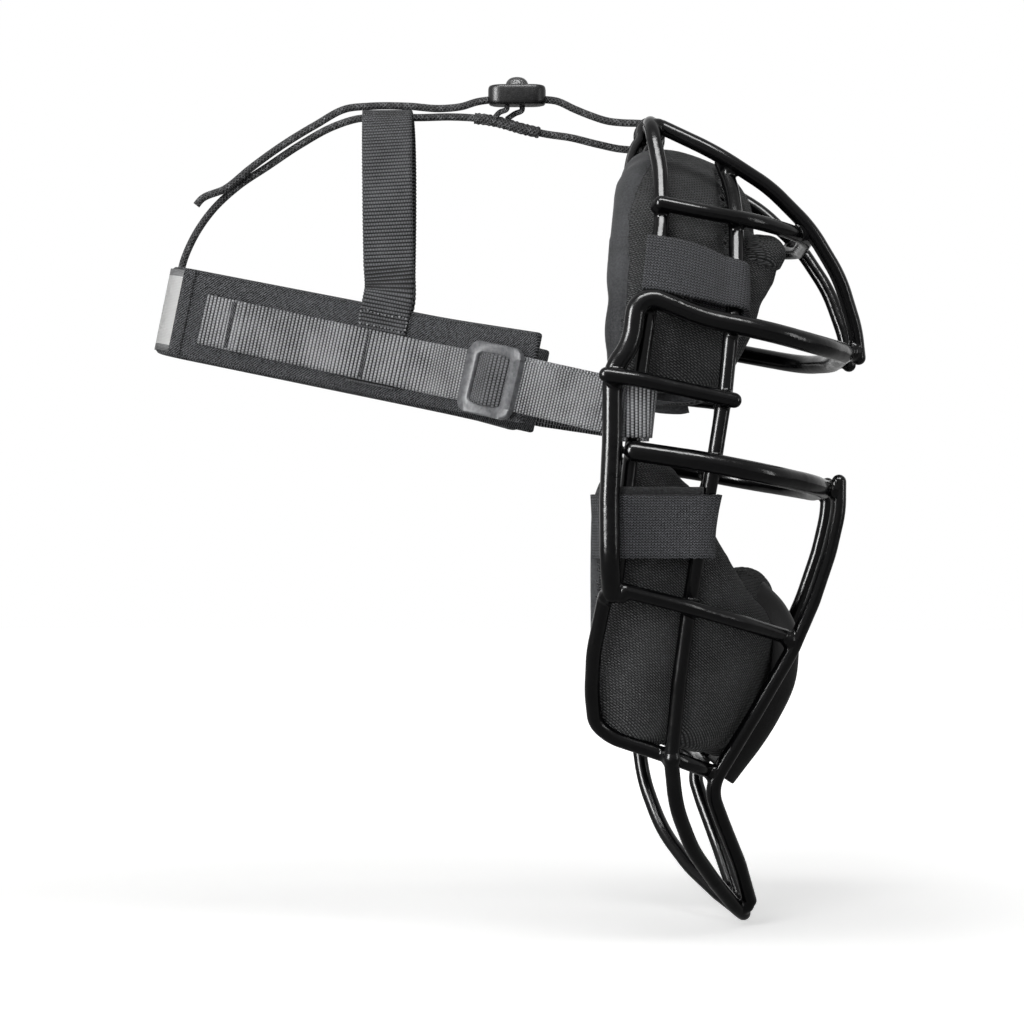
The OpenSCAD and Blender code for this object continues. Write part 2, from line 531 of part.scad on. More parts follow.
// Heights above the body's middle: the well under the knob, the spring's pocket, the cord
well = lock_high / 2 - button_travel - 0.4;
pocket = well - 1.5;
knob_low = lock_high / 2 - 0.2;
knob_top = 7.4;
cord_drop = cord_z - lock_z;
module cord_lock_body() {
    color("#1b1b1c") translate([lock_x, 0, lock_z]) difference() {
        round_plate(lock_long, lock_wide, 5.4, lock_high);
        translate([0, 0, cord_drop]) rotate([0, 90, 0])
            cylinder(d = cord + 2 * run_gap, h = lock_long + 4, center = true, $fn = 32);
        translate([0, 0, cord_drop - cord / 2 - run_gap])
            cylinder(d = stem + 2 * run_gap, h = lock_high, $fn = 32);
        translate([0, 0, pocket]) cylinder(d = 7.6, h = lock_high, $fn = 32);
        translate([0, 0, well]) cylinder(d = knob + 2 * run_gap, h = lock_high, $fn = 36);
    }
}
module lock_button() {
    foot = cord_drop - cord / 2 - run_gap + 0.1 + button_travel;
    dome = ((knob / 2) ^ 2 + (knob_top - knob_low - 0.4) ^ 2) / (2 * (knob_top - knob_low - 0.4));
    color("#1b1b1c") translate([lock_x, 0, lock_z]) difference() {
        union() {
            translate([0, 0, foot]) cylinder(d = stem, h = knob_low + 0.2 - foot, $fn = 32);
            translate([0, 0, knob_low]) cylinder(d = knob, h = 0.6, $fn = 36);
            intersection() {
                translate([0, 0, knob_top - dome]) sphere(r = dome, $fn = 48);
                translate([0, 0, knob_low + 0.4]) cylinder(d = knob, h = 6, $fn = 36);
            }
        }
        translate([-6, -(cord / 2 + run_gap), foot - 1])
            cube([12, cord + 2 * run_gap, cord_drop + cord / 2 + run_gap + button_travel - foot + 1]);
    }
}
module lock_spring() {
    turns = 3;
    steps = 16;
    low = pocket + 0.3;
    high = knob_low - 0.3;
    color("#b9b9bd") translate([lock_x, 0, lock_z])
        loft([for (k = [0 : turns * steps]) let (a = k * 360 / steps, c = [3.3 * cos(a), 3.3 * sin(a),
            low + (high - low) * k / (turns * steps)])
            [for (j = [0 : 5]) c + 0.25 * (cos(j * 60) * [cos(a), sin(a), 0] + sin(j * 60) * [0, 0, 1])]]);
}

visor_side_rod();
face_frame_rod();
jaw_rod();
lower_ring_rod();
upper_cross_rod();
ear_bar_left();
ear_bar_right();
visor_centre_rod_left();
visor_centre_rod_right();
side_rod_left();
side_rod_right();
lower_cross_rod_left();
lower_cross_rod_right();
jaw_centre_rod_left();
jaw_centre_rod_right();
throat_loop_rod();
upper_pad();
lower_pad();
chin_flap();
upper_fold_left();
upper_fold_right();
upper_flap_left();
upper_flap_right();
upper_patch_left();
upper_patch_right();
lower_wrap_left();
lower_wrap_right();
back_band();
label_patch();
webbing_left();
webbing_right();
return_left();
return_right();
weave_left();
weave_right();
slider_left();
slider_right();
crown_strap();
crown_keeper();
upper_cord_rear();
upper_cord_front();
lower_cord_rear();
lower_cord_front();
cord_knot();
tie_cord_left();
tie_cord_right();
hitch_upper();
hitch_lower();
cord_lock_body();
lock_button();
lock_spring();
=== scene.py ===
# Umpire mask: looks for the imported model. Metres, +X forward, +Y the wearer's left, +Z up.
import json
from math import atan2, copysign, cos, exp, pi, radians, sin

import bmesh
import bpy
import numpy as np
from mathutils import Matrix, Vector
from mathutils.bvhtree import BVHTree
from mathutils.kdtree import KDTree


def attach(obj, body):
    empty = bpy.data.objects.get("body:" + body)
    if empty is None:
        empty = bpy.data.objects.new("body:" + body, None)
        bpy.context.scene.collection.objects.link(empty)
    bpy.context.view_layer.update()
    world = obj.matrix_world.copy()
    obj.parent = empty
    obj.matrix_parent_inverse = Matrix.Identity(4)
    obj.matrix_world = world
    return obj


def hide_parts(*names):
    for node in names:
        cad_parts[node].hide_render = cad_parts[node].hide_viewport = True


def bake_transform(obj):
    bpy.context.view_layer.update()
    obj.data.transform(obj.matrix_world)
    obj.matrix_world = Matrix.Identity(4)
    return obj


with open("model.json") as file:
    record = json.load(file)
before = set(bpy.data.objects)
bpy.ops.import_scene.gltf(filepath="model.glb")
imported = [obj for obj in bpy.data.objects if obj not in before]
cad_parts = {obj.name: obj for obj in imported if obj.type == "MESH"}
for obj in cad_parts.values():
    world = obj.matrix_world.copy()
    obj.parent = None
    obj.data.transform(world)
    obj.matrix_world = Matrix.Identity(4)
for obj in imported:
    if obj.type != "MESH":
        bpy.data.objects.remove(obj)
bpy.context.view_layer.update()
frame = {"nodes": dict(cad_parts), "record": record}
scene = bpy.context.scene
scene.view_settings.view_transform = "Standard"
MM = 0.001


# ---------------------------------------------------------------- sizes, in millimetres
CORD = 3.0
WEBBING = 20.0
WEBBING_THICK = 1.4
STRAP_THICK = 1.8
STRAP_WIDE = 20.0
LOWER_STRAP_WIDE = 24.0
BAND_HIGH = 36.0
BAND_THICK = 3.4
BAND_LEVEL = 22      # the band's middle, above the webbing's loops
THIN_ROD = 5.8
LEAN = radians(11.5)
RIB = 1.45           # from one webbing rib to the next
WINDOW_RIB = 1.6     # the same on the webbing in the sliders' windows
LOCK = Vector((50, 0, 126.6))
SLIDER_AT = 42.9     # along the level webbing
SLIDER_OFF = 6.5     # its middle, off the band's middle
PATCH_START = 97.4   # the loop patch shows only just past the strap's rear edge
KEPT_OUT = 0.85      # the share of a pad's inward move that is taken back after its simulation
SIM_FRAMES = 20


# ---------------------------------------------------------------- materials
def colour(code):
    """sRGB hex to the linear colour that shaders take."""
    parts = [int(code[i:i + 2], 16) / 255 for i in (1, 3, 5)]
    return [c / 12.92 if c <= 0.04045 else ((c + 0.055) / 1.055) ** 2.4 for c in parts] + [1.0]


def add(tree, kind, *inputs, out=0, to=None, **settings):
    """Adds a node, or the Math node that a word in capitals names. Its inputs come in order, or by
    name in a dict: numbers, colours or other outputs. Returns one output, and links it to an input."""
    made = tree.nodes.new("ShaderNode" + ("Math" if kind.isupper() else kind))
    if kind.isupper():
        made.operation = kind
    for name, value in settings.items():
        setattr(made, name, value)
    given = inputs[0] if inputs and isinstance(inputs[0], dict) else dict(enumerate(inputs))
    for name, value in given.items():
        if isinstance(value, bpy.types.NodeSocket):
            tree.links.new(value, made.inputs[name])
        else:
            made.inputs[name].default_value = value
    if to:
        tree.links.new(made.outputs[out], to)
    return made.outputs[out]


def material(name, shader):
    """A new material with its shader's own sockets set; returns it, its tree and its shader."""
    made = bpy.data.materials.new(name)
    made.use_nodes = True
    tree = made.node_tree
    surface = tree.nodes["Principled BSDF"]
    for socket, value in shader.items():
        surface.inputs[socket].default_value = value
    return made, tree, surface


def yarn(name, roughness, specular, sheen, spread):
    """A material with the soft sheen of yarn or nap."""
    return material(name, {"Roughness": roughness, "Specular IOR Level": specular,
                           "Sheen Weight": sheen, "Sheen Roughness": spread})


def dress(tree, surface, shade, span, shades, height, strength, depth):
    """Colours a surface from dark to light as a value spans its range, and raises it by a height."""
    share = add(tree, "MapRange", {"Value": shade, "From Min": span[0], "From Max": span[1]})
    add(tree, "Mix", {0: share, 6: colour(shades[0]), 7: colour(shades[1])}, data_type="RGBA", out=2,
        to=surface.inputs["Base Color"])
    add(tree, "Bump", {"Height": height, "Strength": strength, "Distance": depth},
        to=surface.inputs["Normal"])


def object_place(tree):
    return add(tree, "TexCoord", out="Object")


def cloth_place(tree):
    """Millimetres along and across a strap or cord, from its UV map."""
    uv = add(tree, "UVMap", uv_map="cloth")
    split = add(tree, "SeparateXYZ", uv).node.outputs
    return uv, split[0], split[1]


def wave(tree, value, pitch, shift=0.0):
    """0 to 1 and back once in each pitch."""
    turned = add(tree, "MULTIPLY_ADD", value, 2 * pi / pitch, shift)
    return add(tree, "MULTIPLY_ADD", add(tree, "SINE", turned), 0.5, 0.5)


def rod_coat():
    # Gloss vinyl coating dipped over steel rod: near black, mirror-like but slightly uneven, as a
    # dipped coat sets in shallow waves about 4 mm long, with fine grain in the highlights
    made, tree, surface = material("dipped_gloss_coating", {
        "Base Color": colour("#050506"), "Roughness": 0.2, "Specular IOR Level": 0.12})
    place = object_place(tree)
    waves = add(tree, "TexNoise", {"Vector": place, "Scale": 260.0, "Detail": 2.0})
    grain = add(tree, "TexNoise", {"Vector": place, "Scale": 2600.0, "Detail": 2.0})
    patchy = add(tree, "TexNoise", {"Vector": place, "Scale": 90.0, "Detail": 3.0})
    add(tree, "MapRange", {"Value": patchy, "From Min": 0.3, "From Max": 0.7, "To Min": 0.15,
                           "To Max": 0.26}, to=surface.inputs["Roughness"])
    first = add(tree, "Bump", {"Height": waves, "Strength": 0.22, "Distance": 0.0006},
                to=surface.inputs["Normal"])
    add(tree, "Bump", {"Height": grain, "Strength": 0.15, "Distance": 0.00012, "Normal": first},
        to=surface.inputs["Normal"])
    return made


def knit_mesh():
    # Polyester knit mesh over foam: charcoal, matt, short raised dashes in slanting rows. The real
    # dashes are about 1.4 by 0.5 mm, and are drawn at 1.7 by 0.75 mm so that they show. The pattern
    # is wrapped round an upright line behind the pads, so that it isn't smeared on their sides
    made, tree, surface = yarn("charcoal_knit_mesh", 0.85, 0.05, 0.08, 0.4)
    x, y, z = add(tree, "SeparateXYZ", object_place(tree)).node.outputs
    line_x, middle_radius, face_slope = 0.06, 0.085, 0.15
    dashes_per_metre = 560.0
    reach = add(tree, "SUBTRACT", x, line_x)
    turn = add(tree, "ARCTAN2", y, reach)
    away = add(tree, "SQRT", add(tree, "MULTIPLY_ADD", y, y, add(tree, "MULTIPLY", reach, reach)))
    down = add(tree, "MULTIPLY_ADD", away, -face_slope, z)
    flat = add(tree, "CombineXYZ", {0: add(tree, "MULTIPLY", turn, middle_radius), 1: down})
    slanted = add(tree, "Mapping", {"Vector": flat, "Rotation": (0, 0, radians(38)),
                                    "Scale": (dashes_per_metre, dashes_per_metre, 1.0)})
    dashes = add(tree, "TexBrick", {
        "Vector": slanted, "Color1": (1, 1, 1, 1), "Color2": (0.6, 0.6, 0.6, 1), "Mortar": (0, 0, 0, 1),
        "Scale": 1.0, "Mortar Size": 0.2, "Mortar Smooth": 0.8, "Brick Width": 0.95,
        "Row Height": 0.42}, offset=0.5)
    thread = add(tree, "SeparateColor", {0: dashes})
    cloudy = add(tree, "TexNoise", {"Vector": object_place(tree), "Scale": 45.0, "Detail": 4.0})
    shaded = add(tree, "MULTIPLY_ADD", cloudy, 0.4, add(tree, "MULTIPLY", thread, 0.8))
    dress(tree, surface, shaded, (0.1, 1.1), ("#0f1010", "#717273"), thread, 0.85, 0.0007)
    return made


def microsuede():
    # Brushed microfibre on the faces that touch the skin: a shade lighter, fine nap, soft sheen
    made, tree, surface = yarn("brushed_microsuede", 0.93, 0.04, 0.2, 0.35)
    place = object_place(tree)
    nap = add(tree, "TexNoise", {"Vector": place, "Scale": 1200.0, "Detail": 3.0, "Roughness": 0.7})
    cloudy = add(tree, "TexNoise", {"Vector": place, "Scale": 38.0, "Detail": 3.0})
    mixed = add(tree, "MULTIPLY_ADD", nap, 0.55, add(tree, "MULTIPLY", cloudy, 0.5))
    dress(tree, surface, mixed, (0.3, 0.75), ("#2b2b2d", "#5b5c5e"), nap, 0.4, 0.0003)
    return made


def black_vinyl():
    # Calendered vinyl sheet, on the chin flap and the frame tabs: black, low gloss, fine pressed grain
    made, tree, surface = material("calendered_black_vinyl", {
        "Base Color": colour("#0a0a0b"), "Roughness": 0.46, "Specular IOR Level": 0.1})
    place = object_place(tree)
    pores = add(tree, "TexVoronoi", {"Vector": place, "Scale": 900.0}, feature="DISTANCE_TO_EDGE",
                out="Distance")
    soft = add(tree, "TexNoise", {"Vector": place, "Scale": 60.0})
    add(tree, "MapRange", {"Value": soft, "To Min": 0.4, "To Max": 0.58},
        to=surface.inputs["Roughness"])
    add(tree, "Bump", {"Height": pores, "Strength": 0.3, "Distance": 0.0002},
        to=surface.inputs["Normal"])
    return made


def hook_and_loop():
    # Knitted hook and loop strap: grey black, columns of small V stitches 1.2 mm wide, dry and matt
    made, tree, surface = yarn("knitted_loop_strap", 0.85, 0.06, 0.1, 0.4)
    _, along, across = cloth_place(tree)
    stitch_wide = 1.2
    column = add(tree, "FRACT", add(tree, "DIVIDE", along, stitch_wide))
    vee = add(tree, "ABSOLUTE", add(tree, "SUBTRACT", column, 0.5))
    stitch = wave(tree, add(tree, "MULTIPLY_ADD", vee, 1.5, across), 1.05)
    gap = add(tree, "MULTIPLY", add(tree, "SMOOTH_MIN", vee, 0.12, 0.05), 8.0)
    face = add(tree, "MULTIPLY", stitch, gap)
    fuzz = add(tree, "TexNoise", {"Vector": object_place(tree), "Scale": 1500.0, "Detail": 3.0,
                                  "Roughness": 0.7})
    mixed = add(tree, "MULTIPLY_ADD", fuzz, 0.7, add(tree, "MULTIPLY", face, 0.8))
    dress(tree, surface, mixed, (0.3, 1.15), ("#0c0d0e", "#65666a"), face, 0.7, 0.0005)
    return made


def brushed_loop():
    # The loop side of the tape, sewn to the pad: charcoal fuzz without a weave
    made, tree, surface = yarn("brushed_loop_tape", 0.95, 0.1, 0.25, 0.5)
    place = object_place(tree)
    fuzz = add(tree, "TexNoise", {"Vector": place, "Scale": 1300.0, "Detail": 4.0, "Roughness": 0.8})
    dress(tree, surface, fuzz, (0.35, 0.7), ("#161617", "#434446"), fuzz, 0.9, 0.0009)
    return made


def band_twill():
    # Twill cloth bonded to thin foam on the back band: fine ribs at 45 degrees, 1.15 mm apart along
    # it, broken up by crossing threads
    made, tree, surface = yarn("bonded_twill", 0.9, 0.04, 0.08, 0.4)
    _, along, across = cloth_place(tree)
    slant = add(tree, "ADD", along, across)
    counter = add(tree, "SUBTRACT", along, across)
    rib = wave(tree, slant, 1.15)
    broken = wave(tree, counter, 0.85)
    face = add(tree, "MULTIPLY", rib, add(tree, "MULTIPLY_ADD", broken, 0.6, 0.4))
    speck = add(tree, "TexNoise", {"Vector": object_place(tree), "Scale": 1500.0, "Detail": 1.0})
    mixed = add(tree, "MULTIPLY_ADD", speck, 1.0, add(tree, "MULTIPLY", face, 0.7))
    dress(tree, surface, mixed, (0.5, 1.1), ("#18191a", "#707174"), mixed, 0.6, 0.0005)
    return made


def ribbed_webbing(name, dark, light, pitch):
    # Woven polypropylene webbing: grey ribs with the grooves between them painted black as painted
    # shade, each rib crossed by threads 1.1 mm apart that lie half a step on from the last rib's
    made, tree, surface = yarn(name, 0.65, 0.06, 0.08, 0.4)
    _, along, across = cloth_place(tree)
    ribs = wave(tree, along, pitch)
    step = add(tree, "FLOOR", add(tree, "DIVIDE", along, pitch))
    threads = wave(tree, add(tree, "MULTIPLY_ADD", step, 0.55, across), 1.1)
    # The rib wave's low parts come out dark: painted shade in the grooves between ribs
    ridge = add(tree, "POWER", ribs, 0.7)
    face = add(tree, "MULTIPLY", ridge, add(tree, "MULTIPLY_ADD", threads, 0.45, 0.55))
    worn = add(tree, "TexNoise", {"Vector": object_place(tree), "Scale": 70.0, "Detail": 3.0})
    mixed = add(tree, "MULTIPLY_ADD", worn, 0.5, add(tree, "MULTIPLY", face, 0.8))
    dress(tree, surface, mixed, (0.38, 0.98), (dark, light), face, 0.7, 0.0006)
    return made


def braided_elastic():
    # Braided elastic cord: black yarn with some pale flecks, a plait of crossing yarns 1.6 mm long
    made, tree, surface = yarn("braided_elastic", 0.7, 0.1, 0.08, 0.4)
    uv, along, across = cloth_place(tree)
    one = wave(tree, add(tree, "MULTIPLY_ADD", across, 0.85, along), 1.6)
    two = wave(tree, add(tree, "MULTIPLY_ADD", across, -0.85, along), 1.6, pi)
    plait = add(tree, "MAXIMUM", one, two)
    cell = add(tree, "TexVoronoi", {"Vector": uv, "Scale": 0.75}, out="Color")
    pick = add(tree, "SeparateColor", {0: cell})
    fleck = add(tree, "MULTIPLY", add(tree, "GREATER_THAN", pick, 0.72), plait)
    mixed = add(tree, "MULTIPLY_ADD", fleck, 0.5, add(tree, "MULTIPLY", plait, 0.35))
    dress(tree, surface, mixed, (0.1, 1.25), ("#0c0c0d", "#7b7c7e"), plait, 0.8, 0.0005)
    return made


def slider_finish():
    # Die-cast slider with a satin grey lacquer: mid grey, faintly mottled, bright on its rims
    made, tree, surface = material("satin_cast_slider", {
        "Roughness": 0.4, "Specular IOR Level": 0.14})
    place = object_place(tree)
    mottle = add(tree, "TexNoise", {"Vector": place, "Scale": 420.0, "Detail": 5.0, "Roughness": 0.65})
    grain = add(tree, "TexNoise", {"Vector": place, "Scale": 2200.0, "Detail": 2.0})
    dress(tree, surface, mottle, (0.3, 0.75), ("#515254", "#7d7e81"), grain, 0.25, 0.00012)
    return made


def lock_plastic():
    # Injection moulded acetal: black, semi-gloss, faint moulding texture
    made, tree, surface = material("moulded_acetal", {
        "Base Color": colour("#080809"), "Roughness": 0.3, "Specular IOR Level": 0.16})
    place = object_place(tree)
    patchy = add(tree, "TexNoise", {"Vector": place, "Scale": 700.0})
    grain = add(tree, "TexNoise", {"Vector": place, "Scale": 1800.0})
    add(tree, "MapRange", {"Value": patchy, "To Min": 0.28, "To Max": 0.48},
        to=surface.inputs["Roughness"])
    add(tree, "Bump", {"Height": grain, "Strength": 0.3, "Distance": 0.0002},
        to=surface.inputs["Normal"])
    return made


def knob_plastic():
    # The same plastic with a coarse spark-eroded grip texture, which breaks up its gloss
    made, tree, surface = material("textured_acetal", {
        "Roughness": 0.4, "Specular IOR Level": 0.35})
    pits = add(tree, "TexVoronoi", {"Vector": object_place(tree), "Scale": 1500.0})
    dress(tree, surface, pits, (0.1, 0.7), ("#1c1c1d", "#070707"), pits, 0.6, 0.0003)
    return made


def bare_weave():
    # Woven damask patch left bare: pale grey satin threads with a plain border
    made, tree, surface = material("bare_damask_patch", {"Roughness": 0.6, "Specular IOR Level": 0.35})
    _, along, across = cloth_place(tree)
    border = 4.2
    threads = add(tree, "MULTIPLY", wave(tree, along, 0.45), wave(tree, across, 0.6))
    inner = add(tree, "LESS_THAN", add(tree, "ABSOLUTE", across), BAND_HIGH / 2 - border)
    shade = add(tree, "MULTIPLY_ADD", inner, 0.7, add(tree, "MULTIPLY", threads, 0.25))
    dress(tree, surface, shade, (0.0, 0.95), ("#3b3c3e", "#c4c4c3"), threads, 0.4, 0.0003)
    return made


def spring_wire():
    # Drawn stainless spring wire: bright with fine drawing lines
    made, tree, surface = material("drawn_spring_wire", {
        "Base Color": colour("#b9babb"), "Metallic": 1.0, "Roughness": 0.3})
    lines = add(tree, "TexNoise", {"Vector": object_place(tree), "Scale": 3000.0})
    add(tree, "Bump", {"Height": lines, "Strength": 0.2, "Distance": 0.0001},
        to=surface.inputs["Normal"])
    return made


COAT, KNIT, SUEDE, VINYL = rod_coat(), knit_mesh(), microsuede(), black_vinyl()
STRAP, LOOP, TWILL = hook_and_loop(), brushed_loop(), band_twill()
WEBS = ribbed_webbing("woven_ribbed_webbing", "#0b0c0d", "#b4b5b8", RIB)
# The crown strap and its keeper: the same webbing in darker shades, as painted shade where the strap
# leans away from the light
CROWN_SHADED_WEBS = ribbed_webbing("crown_webbing_painted_shade", "#050606", "#66676a", RIB)
# In the sliders' windows: the same webbing in darker shades, as painted shade from the slider's frame
WINDOW_SHADED_WEBS = ribbed_webbing("window_webbing_painted_shade", "#040405", "#77787b", WINDOW_RIB)
BRAID, CAST, ACETAL, KNOB = braided_elastic(), slider_finish(), lock_plastic(), knob_plastic()
PATCH, SPRING = bare_weave(), spring_wire()


# ---------------------------------------------------------------- making pieces
def linked(name, bm):
    """A bmesh as a new object in the scene."""
    mesh = bpy.data.meshes.new(name)
    bm.to_mesh(mesh)
    bm.free()
    made = bpy.data.objects.new(name, mesh)
    scene.collection.objects.link(made)
    return made


def finished(name, bm, finish, body, nodes=()):
    """A bmesh as a named piece of one finish that rides on a body and stands for CAD nodes."""
    piece = linked(name, bm)
    piece.data.materials.append(finish)
    piece.data.shade_smooth()
    if nodes:
        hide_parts(*nodes)
    if body:
        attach(piece, body)
    return piece


def smooth_rows(rows, step):
    """Rows of vectors made even and smooth along the first vector's line, a step apart."""
    flat = np.array([[c for v in row for c in v] for row in rows], float)
    t = np.concatenate([[0], np.cumsum(np.linalg.norm(np.diff(flat[:, :3], axis=0), axis=1))])
    slope = np.gradient(flat, t, axis=0)
    made = []
    for s in np.linspace(0, t[-1], max(2, int(round(t[-1] / step)) + 1)):
        k = min(int(np.searchsorted(t, s, side="right")) - 1, len(t) - 2)
        h = t[k + 1] - t[k]
        a = (s - t[k]) / h
        value = ((2 * a ** 3 - 3 * a * a + 1) * flat[k] + (a ** 3 - 2 * a * a + a) * h * slope[k]
                 + (3 * a * a - 2 * a ** 3) * flat[k + 1] + (a ** 3 - a * a) * h * slope[k + 1])
        made.append([Vector(value[i:i + 3]) for i in range(0, flat.shape[1], 3)])
    return made


def placed(rows):
    """One matrix for each row (centre, across, out): X across the strap, Y out of its face."""
    made = []
    for k, row in enumerate(rows):
        along = (rows[min(k + 1, len(rows) - 1)][0] - rows[max(k - 1, 0)][0]).normalized()
        across = (row[1] - along * row[1].dot(along)).normalized()
        out = along.cross(across)
        if out.dot(row[2]) < 0:
            out = -out
        made.append(Matrix((across, out, along)).transposed().to_4x4())
        made[-1].translation = row[0]
    return made


def follow(points, first=Vector((0, 1, 0))):
    """Matrices along a cord's points, turned as little as it can be."""
    made, across = [], first
    for k, point in enumerate(points):
        along = (points[min(k + 1, len(points) - 1)] - points[max(k - 1, 0)]).normalized()
        across = (across - along * across.dot(along)).normalized()
        made.append(Matrix((across, along.cross(across), along)).transposed().to_4x4())
        made[-1].translation = point
    return made


def sweep(bm, matrices, relief=None, closed=False):
    """Carries the bmesh's edges along the matrices, in millimetres, and writes a UV map of the
    millimetres along and across. relief gives how far a point moves across and out."""
    row_of = bm.verts.layers.int.new("row")
    side_of = bm.verts.layers.float.new("side")
    verts, edges = list(bm.verts), list(bm.edges)
    for k, v in enumerate(verts):
        v[side_of] = float(k) if closed else v.co.x
    bmesh.ops.transform(bm, matrix=matrices[0], verts=verts)
    far = [0.0]
    for k in range(1, len(matrices)):
        made = bmesh.ops.extrude_edge_only(bm, edges=edges)["geom"]
        verts = [g for g in made if isinstance(g, bmesh.types.BMVert)]
        edges = [g for g in made if isinstance(g, bmesh.types.BMEdge)]
        bmesh.ops.transform(bm, matrix=matrices[k] @ matrices[k - 1].inverted(), verts=verts)
        for v in verts:
            v[row_of] = k
        far.append(far[-1] + (matrices[k].translation - matrices[k - 1].translation).length)
    if relief:
        for v in bm.verts:
            place = matrices[v[row_of]]
            local = place.inverted() @ v.co
            across, out = relief(far[v[row_of]], local.x, local.y)
            v.co = place @ Vector((local.x + across, local.y + out, local.z))
    uv = bm.loops.layers.uv.new("cloth")
    count = sum(1 for v in bm.verts if v[row_of] == 0)
    size = 2 * pi * (bm.verts[:][0].co - matrices[0].translation).length / count if closed else 1
    for face in bm.faces:
        sides = [loop.vert[side_of] for loop in face.loops]
        wraps = closed and max(sides) - min(sides) > count / 2
        for loop, s in zip(face.loops, sides):
            turned = s + count if wraps and s < count / 2 else s
            loop[uv].uv = (far[loop.vert[row_of]], turned * size)
    return far[-1]


def strap(name, rows, wide, thick, finish, body, nodes, step=0.48, cells=10, relief=None,
          with_blend=None):
    """A flat strap along rows (centre, across, out), in millimetres, with its real thickness."""
    bm = bmesh.new()
    ends = [bm.verts.new((-wide / 2, 0, 0)), bm.verts.new((wide / 2, 0, 0))]
    edge = bm.edges.new(ends)
    bmesh.ops.subdivide_edges(bm, edges=[edge], cuts=cells - 1)
    length = sweep(bm, placed(smooth_rows(rows, step)), relief)
    bmesh.ops.recalc_face_normals(bm, faces=bm.faces)
    bmesh.ops.scale(bm, vec=(MM, MM, MM), verts=bm.verts)
    piece = finished(name, bm, finish, None, nodes)
    wall = piece.modifiers.new("thickness", "SOLIDIFY")
    wall.thickness = thick * MM
    wall.offset = 0
    if with_blend:
        make_real(piece)
    carry(piece, body, with_blend)
    return piece, length


def carry(piece, body, with_blend):
    """Lets a piece ride on its body; a piece given bodies to bend between only has its place baked into
    its mesh.
    """
    if with_blend:
        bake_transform(piece)
    else:
        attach(piece, body)


def make_real(piece):
    """Applies a piece's modifiers."""
    graph = bpy.context.evaluated_depsgraph_get()
    graph.update()
    mesh = bpy.data.meshes.new_from_object(piece.evaluated_get(graph), depsgraph=graph)
    piece.modifiers.clear()
    piece.data = mesh


def close(bm):
    """Fills a shell's open ends and turns its faces outward."""
    bmesh.ops.holes_fill(bm, edges=[e for e in bm.edges if e.is_boundary], sides=0)
    bmesh.ops.recalc_face_normals(bm, faces=bm.faces)


def evened(piece, cell, rounds):
    """Gives a piece even cells, in millimetres, and smooths it."""
    remesh = piece.modifiers.new("even", "REMESH")
    remesh.mode, remesh.voxel_size = "VOXEL", cell * MM
    soften = piece.modifiers.new("soften", "SMOOTH")
    soften.factor, soften.iterations = 0.5, rounds
    make_real(piece)


def nearest_of(points):
    """A search tree of points."""
    tree = KDTree(len(points))
    for k, p in enumerate(points):
        tree.insert(p, k)
    tree.balance()
    return tree


def tube(name, points, radius, finish, body, nodes, relief=None, step=0.9, sides=12,
         with_blend=None):
    """A cord or thread of one round section along its points, in millimetres."""
    rows = smooth_rows([[p] for p in points], step)
    line = [row[0] for row in rows]
    bm = bmesh.new()
    bmesh.ops.create_circle(bm, cap_ends=False, radius=radius, segments=sides)
    length = sweep(bm, follow(line), relief, closed=True)
    close(bm)
    bmesh.ops.scale(bm, vec=(MM, MM, MM), verts=bm.verts)
    piece = finished(name, bm, finish, None, nodes)
    carry(piece, body, with_blend)
    return piece, length * MM, [tuple(p * MM) for p in line]


def ribs(far, across, out):
    """The webbing's ribs, and its edge drawn in between them."""
    high, drawn_in = 0.12, 0.16
    beat = sin(2 * pi * far / RIB)
    share = across / (WEBBING / 2)
    return -drawn_in * (1 - beat) * share if abs(share) > 0.98 else 0, high * beat


# ---------------------------------------------------------------- the harness's layout, as in the CAD
# The band from above: straight at its sides, and turned outward from FLARE_START on
BACK_X, BACK_Y = -95.5, -14
SIDE_SLOPE, FLARE_SLOPE = 0.14, 0.646
FLARE_START, FLARE_END = 8, 26
# The webbing's height, and how much it falls towards the front, behind and ahead of its knee
REAR_X, REAR_HIGH, REAR_FALL = -79, 20.8, 0.02
KNEE_X, KNEE_HIGH, FRONT_FALL = 38, 18.5, 0.05
LEFT_RISE = 3.6      # how much higher the left webbing sits at its front


def lean(p):
    """A point or direction of the level harness, on the harness as it leans back."""
    return Vector((p[0] * cos(LEAN) + p[2] * sin(LEAN), p[1], p[2] * cos(LEAN) - p[0] * sin(LEAN)))


def flare(x):
    """How far the band has turned outward: nothing, then a bend, then a straight line."""
    if x < FLARE_START:
        return 0
    if x < FLARE_END:
        return (x - FLARE_START) ** 2 / (2 * (FLARE_END - FLARE_START))
    return x - (FLARE_START + FLARE_END) / 2


def plan_y(x):
    return BACK_Y - SIDE_SLOPE * (x - BACK_X) - FLARE_SLOPE * flare(x)


def plan_slope(x):
    return plan_y(x + 0.5) - plan_y(x - 0.5)


def plan_out(x):
    return Vector((plan_slope(x), -1, 0)).normalized()


def fall(x):
    return REAR_FALL if x < KNEE_X else FRONT_FALL


def across_at(x):
    """The way across the webbing."""
    return lean((fall(x), fall(x) * plan_slope(x), 1))


def strap_high(x):
    return REAR_HIGH - fall(x) * (x - REAR_X) if x < KNEE_X else KNEE_HIGH - fall(x) * (x - KNEE_X)


def on_harness(x, z, off):
    return Vector((x, plan_y(x), z)) + plan_out(x) * off


def rise(side, x):
    """How much higher the left webbing sits than the right one."""
    return LEFT_RISE * max(0, min(1, (x - 56) / 30)) if side > 0 else 0


def flip(rows, side):
    """Rows drawn for the right side, for either side."""
    return rows if side < 0 else [[Vector((v.x, -v.y, v.z)) for v in row] for row in rows]


